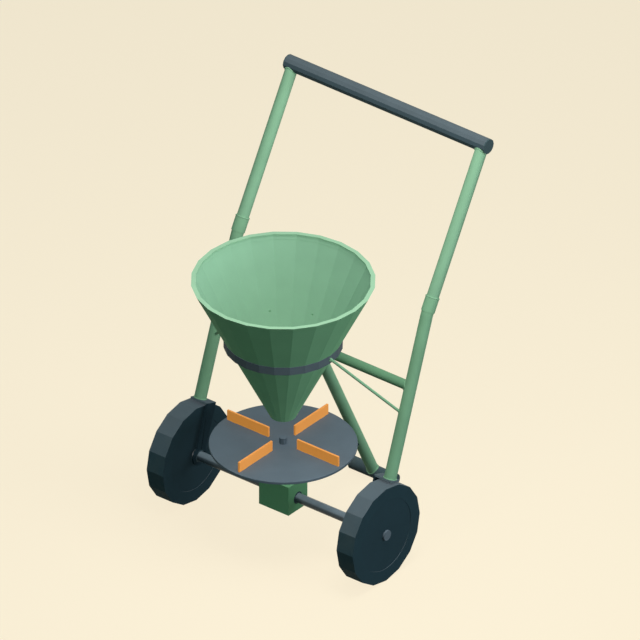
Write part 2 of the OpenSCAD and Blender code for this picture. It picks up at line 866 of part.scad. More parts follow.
// Involute: how far a flank has turned at a given pressure angle, in degrees
function involute(angle) = tan(angle) * 180 / PI - angle;

// Half of a tooth's angle at radius rho, on a spur gear with pitch radius r
function tooth_half(rho, r) =
    let (base = r * cos(20), play = flank_play / r * 180 / PI)
    gear_module * 45 / r + involute(20) - involute(acos(min(1, base / rho))) - play;

// Point of a bevel tooth: rho and phi are measured on the unrolled back cone
function bevel_point(rho, phi, cone, r) =
    let (turn = phi / cos(cone), level = rho * cos(cone))
    [level * cos(turn), level * sin(turn), r / sin(cone) / cos(cone) - rho * sin(cone)];

// Outline of all teeth at their large ends, four points to a flank
function bevel_outline(teeth, cone, r, addendum, dedendum) =
    let (spur_r = r / cos(cone), root = spur_r - dedendum, step = (addendum + dedendum) / 3)
    [for (i = [0:teeth - 1], side = [-1, 1], k = side < 0 ? [0:3] : [3:-1:0])
        let (rho = root + k * step)
        bevel_point(rho, 360 * i / teeth * cos(cone) + side * tooth_half(rho, spur_r), cone, r)];

// Level ring with one point under each point of an outline
function level_ring(outline, r, z) =
    [for (p = outline) [r * p.x / norm([p.x, p.y]), r * p.y / norm([p.x, p.y]), z]];

// Solid bevel gear without its bore: its axis is Z and its teeth point at the origin
module bevel_teeth(teeth, cone, r, addendum, dedendum, back) {
    large = bevel_outline(teeth, cone, r, addendum, dedendum);
    n = len(large);
    shrink = 1 - tooth_share;
    small = [for (p = large) shrink * p];
    root_r = (r / cos(cone) - dedendum) * cos(cone);
    root_z = large[0].z;
    front = level_ring(large, shrink * root_r - 0.4, shrink * root_z + 0.4);
    rear = level_ring(large, root_r - 0.6, back);
    points = concat(front, small, large, rear, [[0, 0, front[0].z], [0, 0, back]]);
    sides = [for (band = [0:2], i = [0:n - 1], half = [0, 1])
        let (a = band * n + i, b = band * n + (i + 1) % n)
        half == 0 ? [a, a + n, b + n] : [a, b + n, b]];
    ends = [for (i = [0:n - 1], end = [0, 1])
        let (j = (i + 1) % n)
        end == 0 ? [4 * n, i, j] : [4 * n + 1, 3 * n + j, 3 * n + i]];
    polyhedron(points = points, faces = concat(sides, ends), convexity = 10);
}

// Hole across the crown gear's hub and the axle
module crown_pin_hole(gap) {
    translate([crown_back + crown_hub / 2, 0, -crown_hub_r - 1])
        cylinder(d = 5 + 2 * gap, h = 2 * crown_hub_r + 2);
}

// Crown gear on the axle
module crown_gear() {
    color(steel) difference() {
        along_x() union() {
            bevel_teeth(crown_teeth, crown_angle, crown_r, crown_addendum, crown_dedendum, crown_back);
            translate([0, 0, crown_back]) cylinder(r = crown_hub_r, h = crown_hub);
        }
        translate([-over, 0, 0]) along_x() cylinder(r = axle_r + run_gap, h = crown_end + 2 * over);
        crown_pin_hole(seat_gap);
    }
}

// Pin across the crown gear's hub
module crown_pin() {
    color(steel) translate([crown_back + crown_hub / 2, 0, -crown_hub_r])
        cylinder(d = 5, h = 2 * crown_hub_r);
}

// Tyre with flat tread pads, one corner straight down
module tyre(side) {
    color(dark_slate) translate([side * wheel_x - wheel_w / 2, 0, 0]) along_x() difference() {
        linear_extrude(height = wheel_w) polygon(ngon(tread_pads, wheel_r));
        translate([0, 0, -over]) cylinder(r = tyre_bore_r, h = wheel_w + 2 * over);
    }
}

// Pair of pressed shells, back to back inside the tyre
module wheel_shells(side) {
    rim = tyre_bore_r - seat_gap;
    color(dark_slate) translate([side * wheel_x, 0, 0])
        for (turn = [-1, 1])
            rotate([0, turn * 90, 0])
                rotate_extrude()
                    polygon([[axle_r + side_gap, shell_face - shell_t], [axle_r + side_gap, shell_face],
                        [rim, shell_face], [rim, seat_gap], [rim - shell_t, seat_gap],
                        [rim - shell_t, shell_face - shell_t]]);
}

// Hub tube inside a wheel
module wheel_hub(side, bore_r) {
    translate([side * wheel_x - hub_half, 0, 0]) along_x() ring(hub_r, bore_r, 2 * hub_half);
}

// Hub of the driven wheel, with a flat in its bore
module wheel_hub_right() {
    color(slate) union() {
        wheel_hub(1, axle_r + run_gap);
        intersection() {
            translate([wheel_x - hub_half, 0, 0]) along_x() cylinder(r = axle_r + 2, h = 2 * hub_half);
            drive_flat_cut(run_gap);
        }
    }
}

// Hub of the free wheel, bored for its bush
module wheel_hub_left() {
    color(slate) wheel_hub(-1, wheel_bush_r + seat_gap);
}

// Bush on which the left wheel turns freely
module wheel_bush_left() {
    color(bronze) translate([-wheel_x - hub_half, 0, 0])
        along_x() ring(wheel_bush_r, axle_r + run_gap, 2 * hub_half);
}

// Where the pinion's teeth start on the shaft
shaft_low = (1 - tooth_share) * (crown_r - pinion_addendum * sin(pinion_angle));

// Spinner shaft: pinion seat, bearing length, and threaded stud for the nut
module spinner_shaft() {
    color(steel) difference() {
        union() {
            translate([0, 0, shaft_low])
                cylinder(r = shaft_seat_r, h = pinion_end + run_gap - shaft_low);
            translate([0, 0, pinion_end + run_gap])
                cylinder(r = shaft_r, h = disc_up - pinion_end - 2 * run_gap);
            translate([0, 0, shaft_low])
                cylinder(r = stud_r, h = disc_up + nut_h - nut_crown - stud_room - shaft_low);
        }
        pinion_pin_hole(seat_gap);
        hub_pin_hole(seat_gap);
    }
}

// Hole across the pinion's hub and the shaft
module pinion_pin_hole(gap) {
    translate([-pinion_hub_r - 1, 0, pinion_back + pinion_hub / 2])
        along_x() cylinder(d = 3 + 2 * gap, h = 2 * pinion_hub_r + 2);
}

// Pinion above the crown gear, turned so that a gap meets the crown gear's tooth
module pinion() {
    color(steel) difference() {
        rotate([0, 0, 180 / pinion_teeth]) union() {
            bevel_teeth(pinion_teeth, pinion_angle, pinion_r, pinion_addendum, pinion_dedendum,
                pinion_back);
            translate([0, 0, pinion_back]) cylinder(r = pinion_hub_r, h = pinion_hub);
        }
        translate([0, 0, -over]) cylinder(r = shaft_seat_r + run_gap, h = pinion_end + 2 * over);
        pinion_pin_hole(seat_gap);
    }
}

// Pin across the pinion's hub
module pinion_pin() {
    color(steel) translate([-pinion_hub_r, 0, pinion_back + pinion_hub / 2])
        along_x() cylinder(d = 3, h = 2 * pinion_hub_r);
}

// Spinner disc: flat sheet with a turned-down edge and slots for the vanes' tabs
module spinner_disc() {
    color(slate) difference() {
        translate([0, 0, disc_up]) rotate_extrude()
            polygon([[shaft_r + seat_gap, 0], [disc_r - 1, 0], [disc_r, -1], [disc_r, -disc_edge],
                [disc_r - disc_t, -disc_edge], [disc_r - disc_t, -disc_t],
                [shaft_r + seat_gap, -disc_t]]);
        for (turn = [0:3]) rotate([0, 0, 90 * turn]) vane_tabs(seat_gap);
    }
}

// Tabs under a vane, or the slots for them
module vane_tabs(gap) {
    for (r = [vane_in + vane_tab, vane_out - 2 * vane_tab])
        translate([r - gap, -vane_t / 2 - gap, disc_low - 2])
            cube([vane_tab + 2 * gap, vane_t + 2 * gap, disc_t + 2 + gap]);
}

// Straight vane standing on the disc, one for each quarter turn
module vane(turn) {
    color(orange) rotate([0, 0, 90 * turn]) {
        translate([vane_in, -vane_t / 2, disc_up]) cube([vane_out - vane_in, vane_t, vane_h]);
        vane_tabs(0);
    }
}

// Hole across the disc's hub and the shaft
module hub_pin_hole(gap) {
    translate([-hub_boss_r - over, 0, hub_boss_low + hub_pin_up])
        along_x() cylinder(d = hub_pin_d + 2 * gap, h = 2 * (hub_boss_r + over));
}

// Flanged hub welded under the disc
module disc_hub() {
    color(dark_slate) difference() {
        translate([0, 0, hub_boss_low]) rotate_extrude()
            polygon([[shaft_r + run_gap, 0], [hub_boss_r, 0],
                [hub_boss_r, disc_low - hub_flange_t - hub_boss_low - hub_cove],
                [hub_boss_r + hub_cove, disc_low - hub_flange_t - hub_boss_low],
                [hub_flange_r, disc_low - hub_flange_t - hub_boss_low],
                [hub_flange_r, disc_low - hub_boss_low], [shaft_r + run_gap, disc_low - hub_boss_low]]);
        hub_pin_hole(seat_gap);
    }
}

// Pin across the disc's hub
module hub_pin() {
    color(steel) translate([-hub_boss_r, 0, hub_boss_low + hub_pin_up])
        along_x() cylinder(d = hub_pin_d, h = 2 * hub_boss_r);
}

// Eight-sided cap nut on the shaft's stud
module shaft_nut() {
    color(dark_slate) translate([0, 0, disc_up]) difference() {
        cylinder(d = nut_d, h = nut_h, $fn = 8);
        translate([0, 0, -over]) cylinder(r = stud_r + seat_gap, h = over + nut_h - nut_crown);
    }
}

place() hopper();
place() hopper_hem();
place() support_ring();
place() ring_screws();
place() gate_seat();
place() gate_keeper();
place() gate_rivets();
place() gate_screws();
place() gate_blade();
place() rail(-1);  // rail_left
place() rail(1);  // rail_right
place() handle_tube(-1);  // handle_tube_left
place() handle_tube(1);  // handle_tube_right
place() joint_bolts();
place() handle_bar();
place() handle_plugs();
place() crossbar();
place() ring_posts();
place() brace_rod(-1);  // brace_rod_left
place() brace_rod(1);  // brace_rod_right
place() stand_leg();
place() foot_bar();
place() foot_plugs();
place() axle_bracket(-1);  // axle_bracket_left
place() axle_bracket(1);  // axle_bracket_right
place() bracket_bushes();
place() gearbox_housing();
place() gearbox_cover();
place() cover_screws();
place() gearbox_bushes();
place() tower_bushes();
place() torque_strut();
place() strut_screw();
place() axle();
place() axle_caps();
place() axle_spacers();
place() crown_gear();
place() crown_pin();
place() wheel_shells(1);  // wheel_shells_right
place() wheel_hub_right();
place() tyre(1);  // tyre_right
place() wheel_shells(-1);  // wheel_shells_left
place() wheel_hub_left();
place() wheel_bush_left();
place() tyre(-1);  // tyre_left
place() spinner_shaft();
place() pinion();
place() pinion_pin();
place() spinner_disc();
place() disc_hub();
place() hub_pin();
place() shaft_nut();
place() vane(0);  // vane_right
place() vane(1);  // vane_rear
place() vane(2);  // vane_left
place() vane(3);  // vane_front
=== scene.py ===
"""Looks of a walk-behind broadcast spreader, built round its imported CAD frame.

The CAD solids keep their shapes. This script gives each of them a finish, adds the weld beads, the
hopper's seam and the rolled mouths of the rails' sockets, and sets up the floor, the light and the
camera. Lengths are in metres, in the row frame: +X along the axle, +Y to the operator, +Z up.
"""

from __future__ import annotations

import logging
import math
from dataclasses import dataclass
from enum import Enum
from typing import Callable, Sequence, Union

import bmesh
import bpy
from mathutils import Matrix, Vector


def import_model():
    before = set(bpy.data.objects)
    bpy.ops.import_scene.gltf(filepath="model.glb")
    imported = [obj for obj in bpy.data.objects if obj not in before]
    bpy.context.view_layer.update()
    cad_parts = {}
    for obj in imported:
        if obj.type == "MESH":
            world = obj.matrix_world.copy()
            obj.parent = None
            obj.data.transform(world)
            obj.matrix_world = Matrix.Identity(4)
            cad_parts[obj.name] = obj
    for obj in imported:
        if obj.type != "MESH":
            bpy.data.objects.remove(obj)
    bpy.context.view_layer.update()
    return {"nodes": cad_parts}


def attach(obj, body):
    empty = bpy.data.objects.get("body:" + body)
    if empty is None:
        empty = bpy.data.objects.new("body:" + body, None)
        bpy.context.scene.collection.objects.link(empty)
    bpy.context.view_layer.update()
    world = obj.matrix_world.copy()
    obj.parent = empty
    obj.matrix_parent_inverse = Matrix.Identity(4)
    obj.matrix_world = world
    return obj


LOG = logging.getLogger("spreader")
FRAME_BODY = "frame"
ACROSS = Vector((1, 0, 0))
RISE = Vector((0, 0, 1))

Colour = tuple[float, float, float, float]
Socket = bpy.types.NodeSocket
Value = Union[float, Sequence[float], Socket]


class Slot(Enum):
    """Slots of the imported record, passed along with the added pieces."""

    SAGE = "sage_paint"
    GREEN = "green_paint"


class Edge(Enum):
    """How far the edges of a piece are rounded, in metres."""

    SHARP = 0.0
    FINE = 0.0003
    SMALL = 0.0004
    PLATE = 0.0006
    MOULDED = 0.0008
    CAST = 0.0012


class Skin(Enum):
    """How a finish's surface is broken up close to."""

    PAINT = "paint"
    CAST = "cast"
    STEEL = "steel"
    RUBBER = "rubber"
    PLASTIC = "plastic"

    @property
    def pits(self) -> float:
        """Depth of the pits between the grains, as a share of the grains' height."""
        return 0.8 if self in (Skin.CAST, Skin.RUBBER) else 0.0


def rgb(red: int, green: int, blue: int) -> Colour:
    """Turn an sRGB colour with parts from 0 to 255 into a linear colour with an alpha of 1."""

    def linear(part: int) -> float:
        """Undo the sRGB curve of one part."""
        share = part / 255
        return share / 12.92 if share <= 0.04045 else ((share + 0.055) / 1.055) ** 2.4

    return linear(red), linear(green), linear(blue), 1.0


def turns(count: int) -> list[float]:
    """List the angles of evenly spread points round a circle."""
    return [math.tau * number / count for number in range(count)]


def put_in_scene(name: str, data: bpy.types.ID) -> bpy.types.Object:
    """Make an object of a mesh, a lamp or a camera, and link it to the scene."""
    made = bpy.data.objects.new(name, data)
    bpy.context.scene.collection.objects.link(made)
    return made


def aim(made: bpy.types.Object, line: Vector) -> None:
    """Turn a lamp or a camera so that it looks along a line."""
    made.rotation_mode = "QUATERNION"
    made.rotation_quaternion = line.to_track_quat("-Z", "Y")


# Sizes of the spreader


@dataclass(frozen=True)
class Layout:
    """Main sizes of the spreader, as its CAD source has them.

    Heights ending in up and depths ending in back are measured from the middle of the axle.
    """

    wheel_r: float = 0.127
    track: float = 0.574
    outlet_r: float = 0.031
    outlet_up: float = 0.212
    rim_r: float = 0.219
    rim_up: float = 0.587
    ring_r: float = 0.142
    ring_h: float = 0.021
    ring_edge: float = 0.0008
    tube_r: float = 0.015
    rail_lean: float = math.radians(19.7)
    rail_foot: float = 0.134
    bend_up: float = 0.516
    bend_r: float = 0.110
    socket_len: float = 0.032
    socket_r: float = 0.0168
    handle_back: float = 0.397
    handle_up: float = 0.884
    handle_r: float = 0.019
    cross_drop: float = 0.068
    cross_r: float = 0.012
    leg_r: float = 0.014
    foot_back: float = 0.343
    foot_r: float = 0.016
    brace_drop: float = 0.135
    brace_r: float = 0.0035

    @property
    def mid_back(self) -> float:
        """How far the middle of the whole is behind the axle."""
        return (self.handle_back + self.handle_r - self.rim_r) / 2

    def at(self, x: float, back: float, up: float) -> Vector:
        """Turn a place measured from the axle into the row frame."""
        return Vector((x, back - self.mid_back, up + self.wheel_r))

    @property
    def wheel_x(self) -> float:
        """How far the wheels and the rails are from the middle."""
        return self.track / 2

    @property
    def rail_line(self) -> Vector:
        """Direction of the leaning rails."""
        return Vector((0, math.sin(self.rail_lean), math.cos(self.rail_lean)))

    def rail_back(self, up: float) -> float:
        """How far the rails are behind the axle at a height."""
        return up * math.tan(self.rail_lean)

    @property
    def bend_back(self) -> float:
        """How far the rails' bend is behind the axle."""
        return self.rail_back(self.bend_up)

    @property
    def handle_line(self) -> Vector:
        """Direction of the handle tubes."""
        away = Vector((0, self.handle_back - self.bend_back, self.handle_up - self.bend_up))
        return away.normalized()

    @property
    def mouth_along(self) -> float:
        """How far past the rails' bend the mouths of their sockets are."""
        turn = self.rail_line.angle(self.handle_line)
        return self.bend_r * math.tan(turn / 2) + self.socket_len

    @property
    def ring_low(self) -> float:
        """Height of the support ring's underside, with its upper edge on the cone."""
        flare = (self.rim_r - self.outlet_r) / (self.rim_up - self.outlet_up)
        return self.outlet_up + (self.ring_r - self.ring_edge - self.outlet_r) / flare - self.ring_h

    @property
    def cross_up(self) -> float:
        """Height of the crossbar."""
        return self.ring_low - self.cross_drop

    @property
    def brace_up(self) -> float:
        """Height at which the brace rods meet the rails."""
        return self.ring_low - self.brace_drop

    @property
    def foot_up(self) -> float:
        """Height of the foot bar's middle."""
        return self.foot_r - self.wheel_r


@dataclass(frozen=True)
class Tube:
    """A straight tube: a point on its axis, its direction and its radius."""

    point: Vector
    line: Vector
    radius: float


# Finishes


@dataclass(frozen=True)
class Finish:
    """One finish: its colour, its gloss and how its surface is broken up.

    Attributes:
        name: Name of the material.
        colour: Linear base colour.
        skin: Kind of surface.
        roughness: Middle of the roughness.
        metallic: 0 for paint and rubber, up to 1 for bare metal.
        specular: Level of the surface reflection.
        grain: Fineness of the surface's grain, in grains per metre.
        bump: Height of the grain, in metres.
        mottle: How much the colour varies.
        dust: How much ground dust the finish carries low down.
        under: Colour of the faces that don't look up enough, painted lighter or darker than the faces
            that look up to stand in for light and shade, or None for one colour all over.
        turn: Upward part of the normal above which a face counts as looking up.
        glow: Light that the finish gives off though its piece is no lamp, painted light on its shaded
            sides, or None.
    """

    name: str
    colour: Colour
    skin: Skin = Skin.PAINT
    roughness: float = 0.6
    metallic: float = 0.0
    specular: float = 0.5
    grain: float = 900.0
    bump: float = 0.00004
    mottle: float = 0.05
    dust: float = 0.0
    under: Colour | None = None
    turn: float = 0.0
    glow: Colour | None = None


RAIL_PAINT = Finish("Green powder coat", rgb(128, 172, 138), roughness=0.55, specular=0.06, dust=0.2)
# The handle tubes' green is a slightly lighter copy of the rails' green: painted light for the stronger
# light up at the handle.
TUBE_GREEN_PAINTED_LIGHT = Finish("Green powder coat with painted light", rgb(133, 175, 143), roughness=0.55, specular=0.08)
# The crossbar's and posts' green is a darker copy of the rails' green: painted shade for the hopper's
# shade over them.
CROSS_GREEN_PAINTED_SHADE = Finish("Green powder coat with painted shade", rgb(104, 147, 115), roughness=0.55, specular=0.04)
# The cone's outside looks down and takes the under colour, lighter than the inside's: painted light on
# the outside.
HOPPER_PAINT = Finish(
    "Sage powder coat", rgb(137, 177, 149), roughness=0.65, specular=0.02, mottle=0.03,
    under=rgb(141, 195, 151),
)
# The hem's faces below its flat top take a slightly lighter under colour: painted light in the collar's
# shade.
HEM_PAINT = Finish(
    "Mint powder coat", rgb(149, 188, 157), roughness=0.5, specular=0.06, mottle=0.03,
    under=rgb(149, 192, 158), turn=0.8,
)
BOX_PAINT = Finish(
    "Painted casting", rgb(116, 177, 131), skin=Skin.CAST, specular=0.03, grain=260, bump=0.00016,
    dust=0.2,
)
SLATE_PAINT = Finish("Slate powder coat", rgb(99, 111, 123), specular=0.05)
# The foot bar's colour changes with the facing: its top is painted a little lighter than the rest,
# painted light and shade.
FOOT_PAINT = Finish(
    "Foot bar coat", rgb(74, 90, 97), specular=0.04, dust=0.2, under=rgb(70, 87, 94), turn=0.45,
)
RING_PAINT = Finish("Ring powder coat", rgb(91, 101, 110), specular=0.05)
STRAP_PAINT = Finish("Strap coat", rgb(36, 53, 62), roughness=0.75, specular=0.02)
# The caps' faces that don't look up are painted lighter than their tops: painted light on their sides.
CAP_PAINT = Finish(
    "Bracket cap coat", rgb(90, 101, 110), roughness=0.7, specular=0.03, under=rgb(98, 110, 118),
    turn=0.6,
)
DARK_PAINT = Finish("Dark powder coat", rgb(33, 50, 60), specular=0.03)
# The vanes' glow is painted light: it brightens their shaded sides, though they are no lamp.
ORANGE_PAINT = Finish(
    "Signal orange powder coat", rgb(216, 143, 84), roughness=0.5, specular=0.08,
    glow=rgb(155, 98, 32),
)
# The axle's faces that look up keep the lighter colour, a painted highlight; the others take the darker
# under colour, painted shade.
AXLE_STEEL = Finish(
    "Blued steel", rgb(120, 134, 145), skin=Skin.STEEL, roughness=0.32, metallic=0.05,
    specular=0.25, grain=3000, bump=0.000003, under=rgb(66, 80, 90), turn=0.55,
)
BARE_STEEL = Finish(
    "Machined steel", rgb(168, 172, 176), skin=Skin.STEEL, roughness=0.36, metallic=1.0, grain=600,
    bump=0.00002,
)
ZINC = Finish(
    "Zinc plate", rgb(150, 156, 160), skin=Skin.STEEL, roughness=0.42, metallic=0.9, grain=300,
    bump=0.00002,
)
BRONZE = Finish(
    "Oiled bronze", rgb(74, 74, 66), skin=Skin.CAST, roughness=0.5, metallic=0.3, grain=1500,
    bump=0.00003,
)
DARK_BUSH = Finish(
    "Graphite bush", rgb(62, 80, 88), skin=Skin.CAST, specular=0.04, grain=1500, bump=0.00003,
)
# The tread's pads that look up are painted lighter than the others: painted light on the top of the wheel
# and painted shade below.
TREAD = Finish(
    "Tread rubber", rgb(93, 104, 113), skin=Skin.RUBBER, roughness=0.7, specular=0.02, grain=1100,
    bump=0.0001, dust=0.25, under=rgb(60, 81, 90), turn=0.54,
)
# The flat sides' rubber is a darker copy of the tread's, painted shade on the sides, with a smoother
# grain.
SIDEWALL_PAINTED_SHADE = Finish(
    "Sidewall rubber with painted shade", rgb(45, 65, 74), skin=Skin.RUBBER, roughness=0.75, specular=0.02,
    grain=1100, bump=0.00006,
)
WHEEL_PAINT = Finish("Wheel paint", rgb(45, 64, 73), roughness=0.75, specular=0.02)
# The handle bar's facets that look up are painted lighter than the others: painted light on top and
# painted shade below.
BAR_SKIN = Finish(
    "Handle bar coat", rgb(83, 93, 100), skin=Skin.RUBBER, specular=0.04, grain=1400, bump=0.00006,
    under=rgb(66, 80, 88), turn=0.6,
)
PLUG = Finish(
    "Plug plastic", rgb(66, 83, 88), skin=Skin.PLASTIC, specular=0.04, grain=1600, bump=0.00005,
)


class NodeSketch:
    """Short ways to place and join shader nodes in one node tree."""

    def __init__(self, tree: bpy.types.NodeTree) -> None:
        """Start a sketch in a node tree."""
        self.tree = tree

    @classmethod
    def on(cls, made: bpy.types.Material | bpy.types.World) -> NodeSketch:
        """Start a sketch on a new material or world."""
        made.use_nodes = True
        return cls(made.node_tree)

    def fill(self, target: bpy.types.Node, inputs: dict[str | int, Value]) -> None:
        """Set a node's inputs, and join those that are given as another node's output.

        Args:
            target: The node.
            inputs: What goes into each input, by the input's name or number.
        """
        for key, value in inputs.items():
            if isinstance(value, Socket):
                self.tree.links.new(value, target.inputs[key])
            else:
                target.inputs[key].default_value = value

    def node(
        self, kind: str, inputs: dict[str | int, Value] | None = None, **settings: object
    ) -> bpy.types.Node:
        """Place a node.

        Args:
            kind: Blender's name of the node type.
            inputs: What goes into its inputs, by name or number.
            settings: Properties to set on the node.
        """
        made = self.tree.nodes.new(kind)
        for name, value in settings.items():
            setattr(made, name, value)
        self.fill(made, inputs or {})
        return made

    def effect(self, group: bpy.types.NodeTree, inputs: dict[str | int, Value]) -> bpy.types.Node:
        """Place a shared node group."""
        return self.node("ShaderNodeGroup", inputs, node_tree=group)

    def math(self, operation: str, first: Value, second: Value, clamp: bool = False) -> Socket:
        """Work out one sum of two numbers, kept from 0 to 1 if it is clamped."""
        inputs = {0: first, 1: second}
        return self.node("ShaderNodeMath", inputs, operation=operation, use_clamp=clamp).outputs[0]

    def noise(self, vector: Socket, scale: Value, detail: float) -> Socket:
        """Read a noise with a scale and a number of octaves."""
        inputs = {"Vector": vector, "Scale": scale, "Detail": detail}
        return self.node("ShaderNodeTexNoise", inputs).outputs[0]

    def ramp(self, value: Socket, low: float, high: float) -> Socket:
        """Stretch a value so that low becomes 0 and high becomes 1, and stop it there."""
        inputs = {"Value": value, "From Min": low, "From Max": high}
        return self.node("ShaderNodeMapRange", inputs, clamp=True).outputs[0]

    def blend(self, share: Value, first: Value, second: Value, mode: str = "MIX") -> Socket:
        """Mix two colours.

        Args:
            share: How much of the second.
            first: First colour.
            second: Second colour.
            mode: Blender's blend mode.
        """
        made = self.node("ShaderNodeMix", data_type="RGBA", blend_type=mode)
        share_in, first_in, second_in, colour_out = 0, 6, 7, 2
        self.fill(made, {share_in: share, first_in: first, second_in: second})
        return made.outputs[colour_out]


# Kinds of the sockets on a shared effect, by their labels. Any other label is a number.
NUMBER_KIND = "NodeSocketFloat"
OTHER_KINDS = {"Vector": "NodeSocketVector", "Normal": "NodeSocketVector", "Colour": "NodeSocketColor"}


@dataclass(frozen=True)
class Recipe:
    """Settings of the shared effects.

    Attributes:
        middle: Middle value of a noise.
        fine_detail: Octaves of the fine noise.
        broad_detail: Octaves of the broad noise and of the turning marks.
        broad_share: Scale of the broad noise, as a share of the fine noise's.
        drift_span: Broad noise at which the colour is darkest and lightest.
        drift_gain: What the colour's drift from the middle is multiplied by.
        fine_gloss: How much the fine noise varies the roughness.
        broad_gloss: How much the broad noise varies the roughness.
        facing_blur: Part of the normal over which the facing mask fades, to each side.
        dust_up: Height at which the dust has thinned out.
        dust_scale: Scale of the dust's patches.
        dust_detail: Octaves of the dust's patches.
        dust_span: Noise at which a patch starts and at which it is full.
        dust_cover: Share of the colour that full dust hides.
        dust_gloss: How much full dust roughens the surface.
        dust_colour: Colour of the dust.
        mark_squeeze: Scale of the turning marks along and across the axle.
        mark_gloss: How much the turning marks vary the roughness.
    """

    middle: float = 0.5
    fine_detail: float = 2.0
    broad_detail: float = 4.0
    broad_share: float = 0.02
    drift_span: tuple[float, float] = (0.3, 0.7)
    drift_gain: float = 2.0
    fine_gloss: float = 0.12
    broad_gloss: float = 0.08
    facing_blur: float = 0.12
    dust_up: float = 0.30
    dust_scale: float = 26.0
    dust_detail: float = 6.0
    dust_span: tuple[float, float] = (0.42, 0.72)
    dust_cover: float = 0.5
    dust_gloss: float = 0.25
    dust_colour: Colour = rgb(150, 140, 122)
    mark_squeeze: tuple[float, float, float] = (1.0, 0.06, 0.06)
    mark_gloss: float = 0.3


